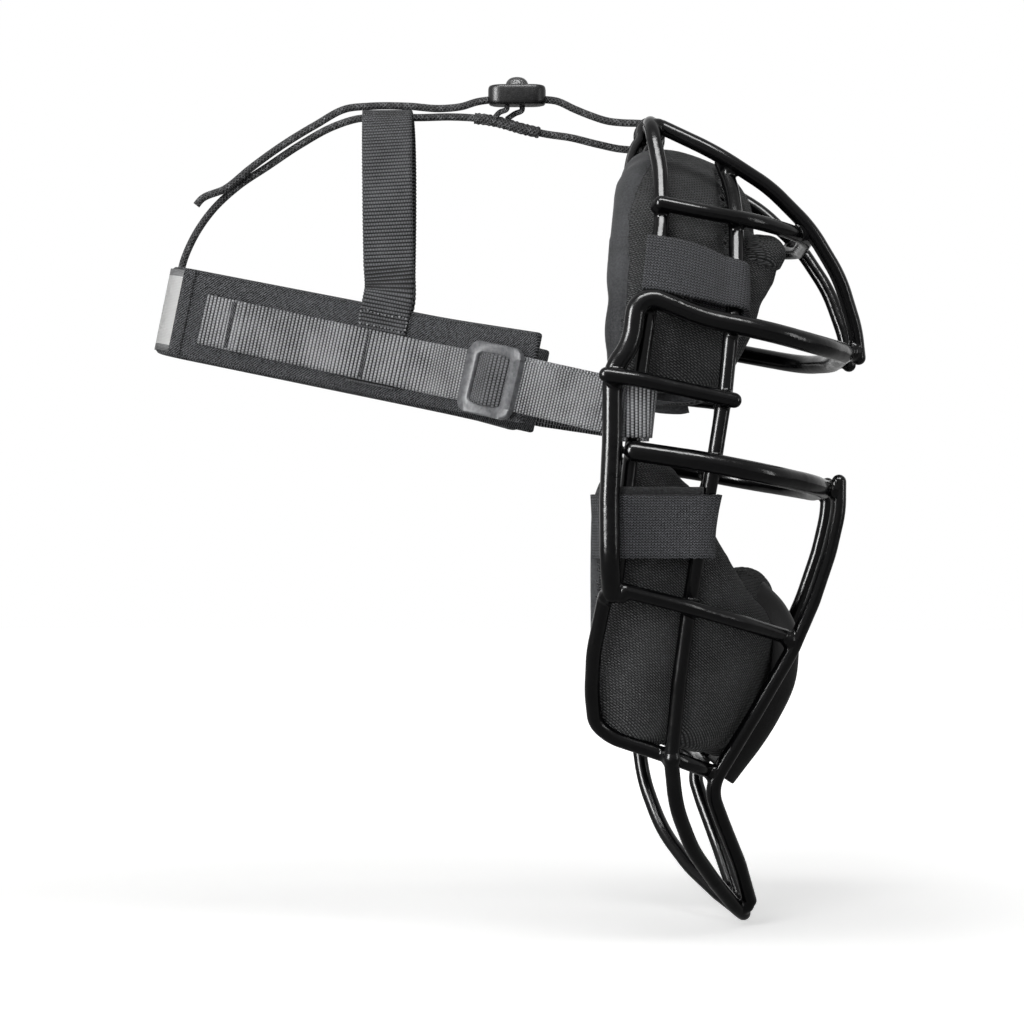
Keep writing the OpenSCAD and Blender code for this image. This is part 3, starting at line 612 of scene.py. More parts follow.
# ---------------------------------------------------------------- camera and light
def camera():
    made = bpy.data.cameras.new("view")
    made.lens, made.sensor_width = 114.3, 36
    made.clip_end = 20
    view = bpy.data.objects.new("view", made)
    view.location = (0.0934, -1.2992, -0.0491)
    aim = Vector((0.048, 0, -0.040)) - view.location
    view.rotation_euler = aim.to_track_quat("-Z", "Y").to_euler()
    scene.collection.objects.link(view)
    scene.camera = view


def softbox(name, place, at, wide, high, power, lights):
    """An area light that works on the matt or on the glossy part of what it falls on."""
    lamp = bpy.data.lights.new(name, "AREA")
    lamp.shape, lamp.size, lamp.size_y, lamp.energy = "RECTANGLE", wide, high, power
    made = bpy.data.objects.new(name, lamp)
    made.location = place
    made.rotation_euler = (Vector(at) - Vector(place)).to_track_quat("-Z", "Y").to_euler()
    made.visible_diffuse = lights == "matt"
    made.visible_glossy = lights == "gloss"
    scene.collection.objects.link(made)


def surroundings():
    """White to the camera and in reflections, and a plain level of light on the object."""
    world = bpy.data.worlds.new("studio")
    scene.world = world
    world.use_nodes = True
    tree = world.node_tree
    sky = tree.nodes["Background"]
    sky.inputs["Color"].default_value = (1, 1, 1, 1)
    rays = add(tree, "LightPath").node.outputs
    seen = add(tree, "MAXIMUM", rays["Is Camera Ray"], rays["Is Glossy Ray"])
    seen = add(tree, "MAXIMUM", seen, rays["Is Transmission Ray"])
    add(tree, "MULTIPLY_ADD", seen, 1 - AMBIENT, AMBIENT, to=sky.inputs["Strength"])

    bm = bmesh.new()
    bmesh.ops.create_grid(bm, x_segments=1, y_segments=1, size=4)
    bmesh.ops.translate(bm, verts=bm.verts, vec=(0, 0, FLOOR))
    # Matt white paper sweep: it glows clear white, and only half as much under the object, where its
    # shadow shows
    paper, tree, surface = material("matt_paper_sweep", {
        "Base Color": colour("#f4f4f3"), "Roughness": 0.95, "Specular IOR Level": 0.1,
        "Emission Color": (1, 1, 1, 1)})
    camera_ray = add(tree, "LightPath")
    away = add(tree, "VectorMath", object_place(tree), operation="LENGTH", out="Value")
    glow = add(tree, "MapRange", {"Value": away, "From Min": 0.3, "From Max": 0.8, "To Min": 0.5,
                                  "To Max": 1.0})
    add(tree, "MULTIPLY", camera_ray, glow, to=surface.inputs["Emission Strength"])
    sheet = linked("studio_floor", bm)
    sheet.data.materials.append(paper)


AMBIENT = 0.2
FLOOR = -0.2048
camera()
surroundings()
for lamp in (
        ("key_front", (-0.35, -1.45, 0.45), (0.03, 0, -0.03), 0.5, 0.7, 9.5, "matt"),
        ("fill_low_left", (-1.0, -1.1, 0.02), (0.08, 0, -0.1), 0.6, 0.35, 2.4, "matt"),
        ("overhead", (0.0, -0.4, 1.2), (0.05, 0, 0), 0.9, 0.3, 5.0, "matt"),
        ("reflector_left", (-1.2, -1.0, 0.3), (0.05, 0, -0.03), 0.5, 1.2, 170.0, "gloss"),
        ("reflector_top", (0.1, -0.75, 1.15), (0.08, 0, 0), 1.3, 0.36, 90.0, "gloss"),
        ("reflector_right", (1.35, -0.45, 0.0), (0.08, 0, -0.08), 0.12, 1.0, 9.0, "gloss")):
    softbox(*lamp)


# ---------------------------------------------------------------- elastic cords
# Their middle lines from the rear end to the hitch, in millimetres, read off the photograph
UPPER_CORD = (
    (-78.6, -1.6, 83), (-77, -1.6, 85), (-67, -1.6, 89.6), (-57, -1.6, 97.6), (-44, -1.2, 107),
    (-31, -0.6, 115), (-18, 0, 121.8), (-10, 0, 122.6), (6, 0, 122.6), (20, 0, 121.6), (28, 0, 122.4),
    (34, 0, 124.2), (40, 0, 125), (50, 0, 125), (60, 0, 125), (65.6, 0, 124.4), (73, -0.8, 121),
    (79.6, -1.6, 118.2), (86, -2.6, 116), (92.5, -3.4, 115.1), (98, -3.4, 114.9), (102.4, -3.4, 114.6))
LOWER_CORD = (
    (-86.2, 0, 51), (-83.6, 0.6, 62), (-79, 1, 72), (-72.4, 1.5, 81.4), (-62, 1.5, 91),
    (-50.6, 1.5, 98.6), (-36.4, 0.8, 107.8), (-24, 0, 114.4), (-14, 0, 117.6), (-2, 0, 118),
    (12, 0, 118), (24, 0, 118.2), (34, 0, 117.6), (44, 0, 115.7), (52, 0.2, 113.6), (60, 1, 111.6),
    (72, 2, 109.8), (82, 3, 107.4), (92, 3.4, 105.4), (98, 3.4, 105.1), (102.6, 3.4, 105.4))
WHIPPING = ((33, 0, 117.6), (38, 0, 117), (43, 0, 116), (52, 0.2, 113.4), (59, 0.9, 111.8))
HITCH_X, HITCH_Z = 102.6, 110
HITCH_RADIUS, HITCH_WIDE, HITCH_TURNS, HITCH_STEPS = 4.6, 3.3, 1.35, 39


def cords():
    for name, route, nodes in (
            ("upper_cord", UPPER_CORD, ("upper_cord_rear", "upper_cord_front")),
            ("lower_cord", LOWER_CORD, ("lower_cord_rear", "lower_cord_front"))):
        points = [Vector(p) for p in route]
        piece, length, path = tube(
            name, points, CORD / 2, BRAID, None, nodes,
            with_blend=("harness", "cage", (0.066, 0, 0.118), (0.101, 0, 0.118)))
    tube("cord_whipping", [Vector(p) for p in WHIPPING], 2.3, BRAID, "harness",
         ["cord_knot"], relief=turns)
    for word, y, way in (("upper", -3.4, 1), ("lower", 3.4, -1)):
        coil = []
        for k in range(HITCH_STEPS + 1):
            turn = way * (pi / 2 - 2 * pi * HITCH_TURNS * k / HITCH_STEPS)
            coil.append(Vector((HITCH_X + HITCH_RADIUS * cos(turn),
                                y + way * HITCH_WIDE * k / HITCH_STEPS,
                                HITCH_Z + HITCH_RADIUS * sin(turn))))
        tube(f"{word}_hitch", coil, CORD / 2, BRAID, "cage", [f"hitch_{word}"])
    for word, s in (("left", 1), ("right", -1)):
        points = [Vector(p) for p in ((49 + 3 * s, 1.9 * s, 122.6), (49 + 3 * s, 1.9 * s, 121.2),
                                      (46 + 3 * s, 2 * s, 119.6), (43.4 + 2.4 * s, 1.8 * s, 117.4))]
        tube(f"tie_cord_{word}_stub", points, 1.1, BRAID, "cord_lock",
             [f"tie_cord_{word}"], step=0.5)


def turns(far, across, out):
    """A whipped thread's turns, 1.5 mm apart."""
    grow = 0.09 * sin(2 * pi * far / 1.5) - 0.02
    return across * grow, out * grow


cords()


# ---------------------------------------------------------------- harness
CORNER_X, CORNER = -83.5, 12.0      # the band's back corner and its bend
CORNER_Y = plan_y(CORNER_X) + CORNER
WEB_OFF = 2.5        # the webbing's middle, off the band's
UP = Vector((0, 0, 1))
SIDES = ((-1, "right"), (1, "left"))
TACKS = ((-67.6, 0.9), (-12.2, 0.45))
CROWN_X, CROWN_TOP, CROWN_FOOT = -8, 120.3, 46
CROWN_BACK = 3.6     # how much further back the crown strap's left foot is
CROWN_LEAN = 0.14


def band_rows(level, off, first=54.5, last=None):
    """The band's middle line at a level, right side first. last stops it on the right corner."""
    rows = []
    for x in (54.5, 49, 44, 38, 32, 26, 23, 20, 17, 14, 11, 8, -20, -52, CORNER_X):
        if x <= first:
            rows.append([lean(on_harness(x, level, off)), lean(UP), lean(plan_out(x))])
    for turn in range(100, 181, 10):
        a = radians(turn)
        around = Vector((cos(a), -sin(a), 0))
        spot = Vector((CORNER_X, CORNER_Y, level)) + around * (CORNER + off)
        rows.append([lean(spot), lean(UP), lean(around)])
        if last and turn >= last:
            return rows
    return rows + [row for row in reversed(flip(rows, 1))]


def harness():
    band, _ = strap("back_band_cloth", band_rows(BAND_LEVEL, 0), BAND_HIGH - 0.8, BAND_THICK, TWILL,
                    "harness", ["back_band"], step=2.0, cells=9)
    rounded(band, 1.3, 3)
    for name, level in (("band_stitch_top", 38.4), ("band_stitch_bottom", 5.6)):
        stitches(name, [row[0] for row in band_rows(level, BAND_THICK / 2 + 0.05)], "harness", TWILL)
    # The bare patch round the right corner and the bound edge beside it
    patch = band_rows(BAND_LEVEL, BAND_THICK / 2 + 0.5, last=170)[16:]
    strap("bare_patch", patch, BAND_HIGH - 3, 0.8, PATCH, "harness", ["label_patch"],
          step=1.0)
    edge = band_rows(BAND_LEVEL, BAND_THICK / 2 + 0.55, first=-82)[1:4]
    strap("patch_binding", edge, BAND_HIGH - 1.4, 1.1, TWILL, "harness", [], step=0.8)
    for side, word in SIDES:
        webbing(side, word)
    crown()


def rounded(piece, width, segments):
    """Soft rims on a strap that has its thickness."""
    rim = piece.modifiers.new("rim", "BEVEL")
    rim.width, rim.segments = width * MM, segments
    rim.limit_method, rim.angle_limit = "ANGLE", radians(50)


def webbing(side, word):
    # Where the webbing lifts off the band: over its bar tacks, under the crown strap, at the front
    steps = ((-90, 0), (-68, 0), (-63, 1.6), (-58, 0.3), (-54, 0), (-29, 0), (-23, 1.7), (-12, 1.9),
             (3, 1.7), (8, 0.2), (15, 0), (22, 1.5), (200, 1.5))
    rows = []
    for x in (-79, -76, -68, -65, -63, -61, -58, -54, -40, -29, -26, -23, -12, -4, 3, 5, 8, 12, 15, 18,
              22, 26, 34, 42, 50, 58, 66, 74, 82, 87):
        spot = on_harness(x, strap_high(x) + rise(side, x), WEB_OFF + float(np.interp(x, *zip(*steps))))
        rows.append([lean(spot), across_at(x), lean(plan_out(x))])
    # Its loop round the frame rod, then the layer that comes back under it
    loop_up = Vector((2.4, 0, 22)).normalized()
    level = -3 + rise(side, 100)
    hub = Vector((99.7, -85, level))
    plan = [(92.2, -87.2), (94.7, -88.95)]
    bend = THIN_ROD / 2 + 1.05
    plan += [(hub.x + bend * cos(radians(a)), hub.y + bend * sin(radians(a)))
             for a in range(-90, 91, 30)]
    plan += [(95.3, -81.05), (92.4, -82.25)]
    for x, y in plan:
        spot = Vector((x, y, level))
        rows.append([spot, loop_up, spot - hub])
    strap(f"side_webbing_{word}", flip(rows, side), WEBBING, WEBBING_THICK, WEBS, "harness",
          [f"webbing_{word}"], relief=ribs)
    rows = []
    for x in (40, 50, 60, 70, 80, 86):
        spot = on_harness(x, strap_high(x) + 1.6 + rise(side, x), WEB_OFF - max(0, x - 70) * 0.03)
        rows.append([lean(spot), across_at(x), lean(plan_out(x))])
    rows.append([Vector((91.6, -84.05, level)), loop_up, Vector((0.3, -1, 0))])
    strap(f"return_webbing_{word}", flip(rows, side), WEBBING, WEBBING_THICK, WEBS, "harness",
          [f"return_{word}"], relief=ribs)
    # Dense bar tacks that hold the webbing to the band
    for k, (x, half) in enumerate(TACKS):
        lift = WEB_OFF + float(np.interp(x, *zip(*steps))) + WEBBING_THICK / 2 + 0.1
        rows = [[lean(on_harness(x + d, strap_high(x), lift)), across_at(x), lean(plan_out(x))]
                for d in (-half, 0, half)]
        strap(f"bar_tack_{word}_{k + 1}", flip(rows, side), WEBBING - 1.6, 0.45, TWILL, "harness",
              [], step=half)


def crown():
    foot = [[lean(on_harness(CROWN_X, z, WEB_OFF)), lean((1, -CROWN_LEAN, 0)), lean(plan_out(CROWN_X))]
            for z in (8, 16, 24, 32, 40)]
    x0, y0 = foot[-1][0].x + 1, foot[-1][0].y
    rows = list(foot)
    for turn in range(0, 82, 9):
        a = radians(turn)
        spot = Vector((x0 + (-2 - x0) * turn / 90, y0 * cos(a),
                       CROWN_FOOT + (CROWN_TOP - CROWN_FOOT) * sin(a)))
        across = Vector((1, -CROWN_LEAN * (1 - turn / 81), -0.2 * max(0, 1 - turn / 36))).normalized()
        rows.append([spot, across, Vector((0, -cos(a) / 28, sin(a) / 74))])
    other = []
    for spot, across, out in reversed(rows):
        back = CROWN_BACK * max(0, min(1, (CROWN_TOP - spot.z) / 80))
        other.append([Vector((spot.x - back, -spot.y - back * CROWN_LEAN, spot.z)),
                      Vector((across.x, -across.y, across.z)), Vector((out.x, -out.y, out.z))])
    rows += [[Vector((-2, 0, CROWN_TOP)), Vector((1, 0, 0)), UP]] + other
    strap("crown_webbing", rows, WEBBING, WEBBING_THICK, CROWN_SHADED_WEBS, "harness", ["crown_strap"],
          relief=ribs)
    corners = ((-9, 31), (-3, 31), (3, 31), (9, 31), (9, 36), (3, 36), (-3, 36), (-9, 36), (-9, 31))
    for side, word in SIDES:
        middle = CROWN_X - (CROWN_BACK if side > 0 else 0)
        box = [lean(on_harness(middle + x, z, WEB_OFF + WEBBING_THICK / 2 + 0.2)) for x, z in corners]
        stitches(f"crown_box_stitch_{word}", [Vector((p.x, -side * p.y, p.z)) for p in box],
                 "harness", WEBS, radius=0.42)
    rows = [[Vector((-2, y, 115.5 + abs(y) * 0.03)), Vector((1, 0, 0)), UP]
            for y in (-8.4, -5, 0, 5, 8.4)]
    strap("crown_keeper_tape", rows, WEBBING - 2, 1.0, CROWN_SHADED_WEBS, "harness", ["crown_keeper"],
          relief=ribs)


def stitches(name, points, body, finish, radius=0.32, pitch=2.6):
    """A line of lockstitches: one thread that rises and dips."""
    def dips(far, across, out):
        grow = 0.5 + 0.5 * sin(2 * pi * far / pitch) - 0.9
        return across * grow, out * grow
    tube(name, points, radius, finish, body, [], relief=dips, step=0.65, sides=6)


harness()


# ---------------------------------------------------------------- straps on the cage
def upper_strap(side, word):
    """Folded round the side rod, with a free end that peels off its loop patch."""
    axis = Vector((0.02, 0.44, 0.9)).normalized()
    pin = Vector((135.2, -71.5, 46)) - axis * 3
    way = Vector((-0.96, -0.17, 0.19)).normalized()
    out = axis.cross(way).normalized()
    fold = THIN_ROD / 2 + 0.3 + STRAP_THICK / 2
    rows = [[pin - out * fold + way * t, axis, -out] for t in (16, 9, 3)]
    for turn in range(-70, 71, 20):
        w = out * sin(radians(turn)) - way * cos(radians(turn))
        rows.append([pin + w * fold, axis, w])
    rows += [[pin + out * fold + way * t, axis, out] for t in (1, 6)]
    for t in (12.2, 17.2, 22.2, 27.2, 32.2, 37.2):
        lift = fold + 1.6 + 1.4 * sin(radians((t - 12.2) * 7.2))
        rows.append([pin + out * lift + way * t, axis, out])
    rows = flip(rows, side)
    near, far = rows[-7][0] * MM, rows[-5][0] * MM
    strap(f"upper_strap_{word}", rows, STRAP_WIDE, STRAP_THICK, STRAP, None,
          [f"upper_fold_{word}", f"upper_flap_{word}"], step=0.9, cells=14, relief=spread,
          with_blend=("cage", f"flap_{word}", near, far))


def lower_strap(side, word):
    """Wrapped round the side rod and over the frame rod, with its lining inside."""
    plan = ((116.4, -72.7), (121.2, -72.6), (124.8, -73.4), (126.9, -76.6), (126.1, -80.3),
            (122.8, -82.3), (115, -83.1), (106, -84.5), (97, -86.8), (92.6, -87.6), (89.6, -86.3),
            (87.2, -83), (85.2, -79.4), (83.2, -76), (81, -73.4))
    rows = []
    for k, (x, y) in enumerate(plan):
        a, b = plan[max(k - 1, 0)], plan[min(k + 1, len(plan) - 1)]
        tilt = (0.2 if side > 0 else 0.12, -0.18, 1) if k < 6 else (0.12, -0.16, 1)
        rows.append([Vector((x, y, -46)), Vector(tilt), Vector((b[1] - a[1], a[0] - b[0], 0))])
    inside = [[spot + out.normalized() * 1.6 + UP * 2.9, tilt, out] for spot, tilt, out in rows[5:11]]
    strap(f"lower_strap_lining_{word}", flip(inside, side), LOWER_STRAP_WIDE, 1.1, LOOP, "cage",
          [], step=0.9, cells=10)
    strap(f"lower_strap_{word}", flip(rows, side), LOWER_STRAP_WIDE, STRAP_THICK, STRAP, "cage",
          [f"lower_wrap_{word}"], step=0.9, cells=14, relief=crowned)


def crowned(far, across, out):
    """A strap's face bulges a little between its edges, and its edge wanders."""
    wander, bulge = 0.16, 0.3
    edge = abs(across) / (STRAP_WIDE / 2)
    aside = wander * sin(far * 1.9) * (1 if across > 0 else -1) if edge > 0.95 else 0
    return aside, bulge * (1 - edge * edge)


def spread(far, across, out):
    """The same, on a strap whose free end widens, from 30 mm along it on."""
    aside, lift = crowned(far, across, out)
    return aside + across * 0.17 * max(0, min(1, (far - 30) / 18)), lift


for side, word in SIDES:
    upper_strap(side, word)
    lower_strap(side, word)


# ---------------------------------------------------------------- slider and cord lock
def hardware_piece(name, bm, finish, body, nodes, place):
    """A piece drawn in millimetres in its own frame, then put at its place."""
    bmesh.ops.transform(bm, matrix=Matrix.Scale(MM, 4) @ place, verts=bm.verts)
    bmesh.ops.recalc_face_normals(bm, faces=bm.faces)
    return finished(name, bm, finish, body, nodes)


def slider_place(side):
    out = lean(plan_out(SLIDER_AT))
    up = lean((FRONT_FALL, 0, 1))
    up = (up - out * up.dot(out)).normalized()
    along = up.cross(out)
    place = Matrix((along, up, out)).transposed().to_4x4()
    place.translation = lean(on_harness(SLIDER_AT, strap_high(SLIDER_AT), SLIDER_OFF))
    return place if side < 0 else Matrix.Diagonal((1, -1, 1, 1)) @ place


def slider_frame():
    """A rectangular frame with rounded corners and rims, and a lower bar across its window."""
    half_x, half_y, thick = 13.5, 14, 3
    columns, lines = (-half_x, -8.4, -2, 2, 8.4, half_x), (-half_y, -9.6, 9.6, half_y)
    bm = bmesh.new()
    bmesh.ops.create_grid(bm, x_segments=5, y_segments=3, size=1)
    for v in bm.verts:
        v.co.x = columns[round((v.co.x + 1) * 5 / 2)]
        v.co.y = lines[round((v.co.y + 1) * 3 / 2)]
        v.co.z = -thick / 2
    windows = [f for f in bm.faces if abs(f.calc_center_median().y) < 5 and
               4 < abs(f.calc_center_median().x) < 7]
    bmesh.ops.delete(bm, geom=windows, context="FACES_ONLY")
    made = bmesh.ops.extrude_face_region(bm, geom=list(bm.faces))["geom"]
    top = [v for v in made if isinstance(v, bmesh.types.BMVert)]
    bmesh.ops.translate(bm, verts=top, vec=(0, 0, thick))
    bmesh.ops.recalc_face_normals(bm, faces=bm.faces)
    for v in bm.verts:
        if abs(v.co.x) < 3 and abs(v.co.y) < 10:
            v.co.z = -0.7 + 0.8 * (1 if v.co.z > 0 else -1)
    # The outer corners, then the windows', then every rim
    for low, high, width, segments in (((13, 13), (14, 15), 6.0, 8), ((8, 9), (10, 10), 2.0, 4)):
        corners = [e for e in bm.edges if abs(e.verts[0].co.z - e.verts[1].co.z) > 2.5
                   and all(low[k] < abs(e.verts[0].co[k]) < high[k] for k in (0, 1))]
        bmesh.ops.bevel(bm, geom=corners, offset=width, segments=segments, profile=0.5,
                        affect="EDGES", material=-1)
    rims = [e for e in bm.edges if e.is_manifold and e.calc_face_angle() > radians(60)]
    bmesh.ops.bevel(bm, geom=rims, offset=0.75, segments=3, profile=0.5, affect="EDGES", material=-1)
    return bm


def window_ribs(far, across, out):
    return 0, 0.1 * sin(2 * pi * far / WINDOW_RIB)


def sliders():
    for side, word in SIDES:
        place = slider_place(side)
        hardware_piece(f"webbing_slider_{word}", slider_frame(), CAST, f"slider_{word}_run",
                       [f"slider_{word}"], place)
        turned = place.to_3x3()
        rows = [[place @ Vector((x, 0, z)), turned @ Vector((0, 1, 0)), turned @ UP]
                for x, z in ((-8, -0.9), (-6, 0), (-4, 0.7), (-2, 1.4), (0, 1.7), (2, 1.4), (4, 0.7),
                             (6, 0), (8, -0.9))]
        strap(f"window_webbing_{word}", rows, WEBBING, WEBBING_THICK, WINDOW_SHADED_WEBS, f"slider_{word}_run",
              [f"weave_{word}"], step=0.24, relief=window_ribs)


def ring(verts, half_x, half_y, corner, z):
    """Puts one ring of vertices on a rounded rectangle's outline at a height."""
    for k, v in enumerate(verts):
        a = 2 * pi * (k + 0.5) / len(verts)
        v.co = Vector((copysign(half_x - corner, cos(a)) + corner * cos(a),
                       copysign(half_y - corner, sin(a)) + corner * sin(a), z))


def stacked(outlines, sides=64):
    """A closed shell through rounded-rectangle rings, each (half x, half y, corner, height)."""
    bm = bmesh.new()
    verts = bmesh.ops.create_circle(bm, cap_ends=False, radius=1, segments=sides)["verts"]
    edges = list(bm.edges)
    ring(verts, *outlines[0])
    for outline in outlines[1:]:
        made = bmesh.ops.extrude_edge_only(bm, edges=edges)["geom"]
        edges = [g for g in made if isinstance(g, bmesh.types.BMEdge)]
        verts = [g for g in made if isinstance(g, bmesh.types.BMVert)]
        verts.sort(key=lambda v: atan2(v.co.y, v.co.x) % (2 * pi))
        ring(verts, *outline)
    close(bm)
    return bm


def cord_lock():
    # From the floor of the button's bore, up and over the top, down the outside and under
    body = stacked([
        (2.6, 2.6, 2.6, 0.8), (3.8, 3.8, 3.8, 0.8), (3.8, 3.8, 3.8, 2.2), (3.95, 3.95, 3.95, 2.3),
        (5.1, 5.1, 5.1, 2.3), (5.1, 5.1, 5.1, 3.5), (5.35, 5.35, 5.35, 3.9), (10.3, 5.75, 4.7, 3.9),
        (10.9, 6.1, 5.0, 3.7), (11.3, 6.35, 5.25, 3.2), (11.5, 6.5, 5.4, 2.3), (11.5, 6.5, 5.4, -2.3),
        (11.3, 6.35, 5.25, -3.2), (10.9, 6.1, 5.0, -3.7), (10.2, 5.6, 4.6, -3.9), (4, 3, 2.5, -3.9)])
    hardware_piece("cord_lock_shell", body, ACETAL, "cord_lock", ["cord_lock_body"],
                   Matrix.Translation(LOCK))
    bm = bmesh.new()
    profile = ((0, -1.1), (2.1, -1.1), (2.5, -0.8), (2.5, 3.5), (2.8, 3.7), (4.5, 3.7), (4.8, 3.85),
               (4.8, 4.2), (4.65, 4.4), (4.5, 4.6), (4.3, 5.2), (3.9, 5.9), (3.2, 6.6), (2.3, 7.1),
               (1.2, 7.35), (0, 7.4))
    verts = [bm.verts.new((x, 0, z)) for x, z in profile]
    edges = [bm.edges.new(pair) for pair in zip(verts, verts[1:])]
    bmesh.ops.spin(bm, geom=verts + edges, cent=(0, 0, 0), axis=(0, 0, 1), angle=2 * pi, steps=40,
                   use_merge=True)
    bmesh.ops.remove_doubles(bm, verts=bm.verts, dist=0.001)
    hardware_piece("press_button", bm, KNOB, "button", ["lock_button"],
                   Matrix.Translation(LOCK))


sliders()
cord_lock()


# ---------------------------------------------------------------- pads
PAD_CELL, PAD_SWELL, PAD_CAP = 3.0, 4.0, 2.2     # mesh step, pressure, furthest that the cover moves
PHOTO_EYE = (93.4, -1300, -49)       # the photograph's viewpoint
PHOTO_MIDDLE = (625.5, 534.5)        # the pixel straight ahead of it
PIXEL, DISTANCE = 0.4, 1300
FACING_IN = 0.35


def seen_at(surface, u, v, side):
    """Where the photograph's pixel meets a surface, on the near side, or mirrored to the far one."""
    start = Vector(PHOTO_EYE) * MM
    way = Vector(((u - PHOTO_MIDDLE[0]) * PIXEL / DISTANCE, 1,
                  (PHOTO_MIDDLE[1] - v) * PIXEL / DISTANCE)).normalized()
    if side > 0:
        start.y, way.y = -start.y, -way.y
    return surface.ray_cast(start, way)[0]


def seam_line(surface, pixels, side):
    """A line of the photograph's pixels on a surface, its points brought close together."""
    spots = [seen_at(surface, u, v, side) for u, v in pixels]
    return close_points([spot for spot in spots if spot])


def padding(name, node, shape):
    """A foam pad in its cover: the CAD's pad, brought to shape and blown up a little."""
    source = frame["nodes"][node]
    bm = bmesh.new()
    bm.from_mesh(source.data)
    bmesh.ops.remove_doubles(bm, verts=bm.verts, dist=1e-5)
    bmesh.ops.recalc_face_normals(bm, faces=bm.faces)
    piece = linked(name, bm)
    evened(piece, PAD_CELL, 3)
    mesh = piece.data
    for v in mesh.vertices:
        v.co = shape(v.co / MM) * MM
    start = np.array([v.co for v in mesh.vertices])
    normals = np.array([v.normal for v in mesh.vertices])
    cloth = piece.modifiers.new("cover", "CLOTH")
    cloth.settings.use_pressure = True
    cloth.settings.uniform_pressure_force = PAD_SWELL
    cloth.settings.effector_weights.gravity = 0
    cloth.settings.quality = 5
    cloth.collision_settings.use_collision = False
    cloth.point_cache.frame_start, cloth.point_cache.frame_end = 1, SIM_FRAMES
    for step in range(1, SIM_FRAMES + 1):
        scene.frame_set(step)
    make_real(piece)
    scene.frame_set(1)
    mesh = piece.data
    now = np.array([v.co for v in mesh.vertices])
    move = now - start
    sunk = np.minimum(0, (move * normals).sum(axis=1, keepdims=True))
    move -= KEPT_OUT * sunk * normals
    far = np.linalg.norm(move, axis=1, keepdims=True)
    move *= np.minimum(1, PAD_CAP * MM / np.maximum(far, 1e-9))
    mesh.vertices.foreach_set("co", (start + move).astype(np.float32).ravel())
    mesh.update()
    return piece


def subdivided(piece):
    fine = piece.modifiers.new("fine", "SUBSURF")
    fine.levels = fine.render_levels = 1
    make_real(piece)
    piece.data.shade_smooth()


def groove(piece, lines, deep, wide):
    """Presses seams into a pad's cover, in millimetres."""
    points = np.array([p for line in lines for p in line]) / MM
    tree = nearest_of(points)
    for v in piece.data.vertices:
        _, _, far = tree.find(v.co / MM)
        if far < 3 * wide:
            v.co -= v.normal * deep * MM * exp(-(far / wide) ** 2)
    piece.data.update()


def close_points(points, gap=0.0008):
    """A line of points brought close together."""
    made = []
    for a, b in zip(points, points[1:]):
        steps = max(1, int((b - a).length / gap))
        made += [a.lerp(b, k / steps) for k in range(steps)]
    return made + [points[-1]]


def finish_pad(piece, node, seam_x, inner):
    """Knit outside, brushed inside, with the seam between them."""
    piece.data.materials.append(KNIT)
    piece.data.materials.append(SUEDE)
    for face in piece.data.polygons:
        spot = face.center / MM
        inward = Vector((inner - spot.x, -spot.y, 0)).normalized()
        inside = spot.x < seam_x(spot.z) or face.normal.dot(inward) > FACING_IN
        face.material_index = 1 if inside else 0
    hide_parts(node)
    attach(piece, "cage")


def seam_thread(name, line, surface):
    spots = []
    for p in line:
        spot, normal, _, _ = surface.find_nearest(p)
        spots.append((spot + normal * 0.12 * MM) / MM)
    stitches(name, spots, "cage", SUEDE)


def step_up(value, low, high):
    t = max(0, min(1, (value - low) / (high - low)))
    return t * t * (3 - 2 * t)


def brow_shape(p):
    """Above its front knob, the brow pad's front stands back."""
    return Vector((p.x - 0.55 * max(0, p.x - 132) * step_up(p.z, 60, 69), p.y, p.z))


def jaw_shape(p):
    """The jaw pad fills the cage down to the jaw rod."""
    return Vector((p.x, p.y, p.z - 4.5 * step_up(-p.z, 95, 128)))


def puff(name, middle, sizes, dent):
    """A small stuffed lobe: a ball drawn to its sizes, with a crease from dent."""
    bm = bmesh.new()
    bmesh.ops.create_uvsphere(bm, u_segments=40, v_segments=28, radius=1)
    for v in bm.verts:
        v.co *= 1 + dent(v.co)
    bmesh.ops.scale(bm, vec=sizes, verts=bm.verts)
    bmesh.ops.translate(bm, vec=middle, verts=bm.verts)
    bmesh.ops.scale(bm, vec=(MM, MM, MM), verts=bm.verts)
    piece = finished(name, bm, KNIT, "cage")


def knob_dent(p):
    """A crease under the knob's middle, and a slightly uneven face."""
    return -0.16 * exp(-((p.z + 0.62 + 0.35 * p.x) / 0.16) ** 2) + 0.03 * sin(7 * p.x + 4 * p.z)


def roll_dent(p):
    """Puckers along the roll's top, and a crease near each end."""
    crease = exp(-((abs(p.y) - 0.72 + 0.2 * p.z) / 0.09) ** 2)
    return 0.07 * sin(11 * p.y + 3 * p.x) * max(0, p.z + 0.3) - 0.1 * crease


def lobes():
    """The brow pad's knobs beside the side rods, and the roll on the jaw pad's front."""
    for side, word in SIDES:
        puff(f"brow_pad_knob_{word}", (145.5, side * 50, 58), (9.2, 10, 8.2), knob_dent)
    puff("jaw_pad_roll", (139.5, 0, -74.6), (12.4, 31, 11.8), roll_dent)


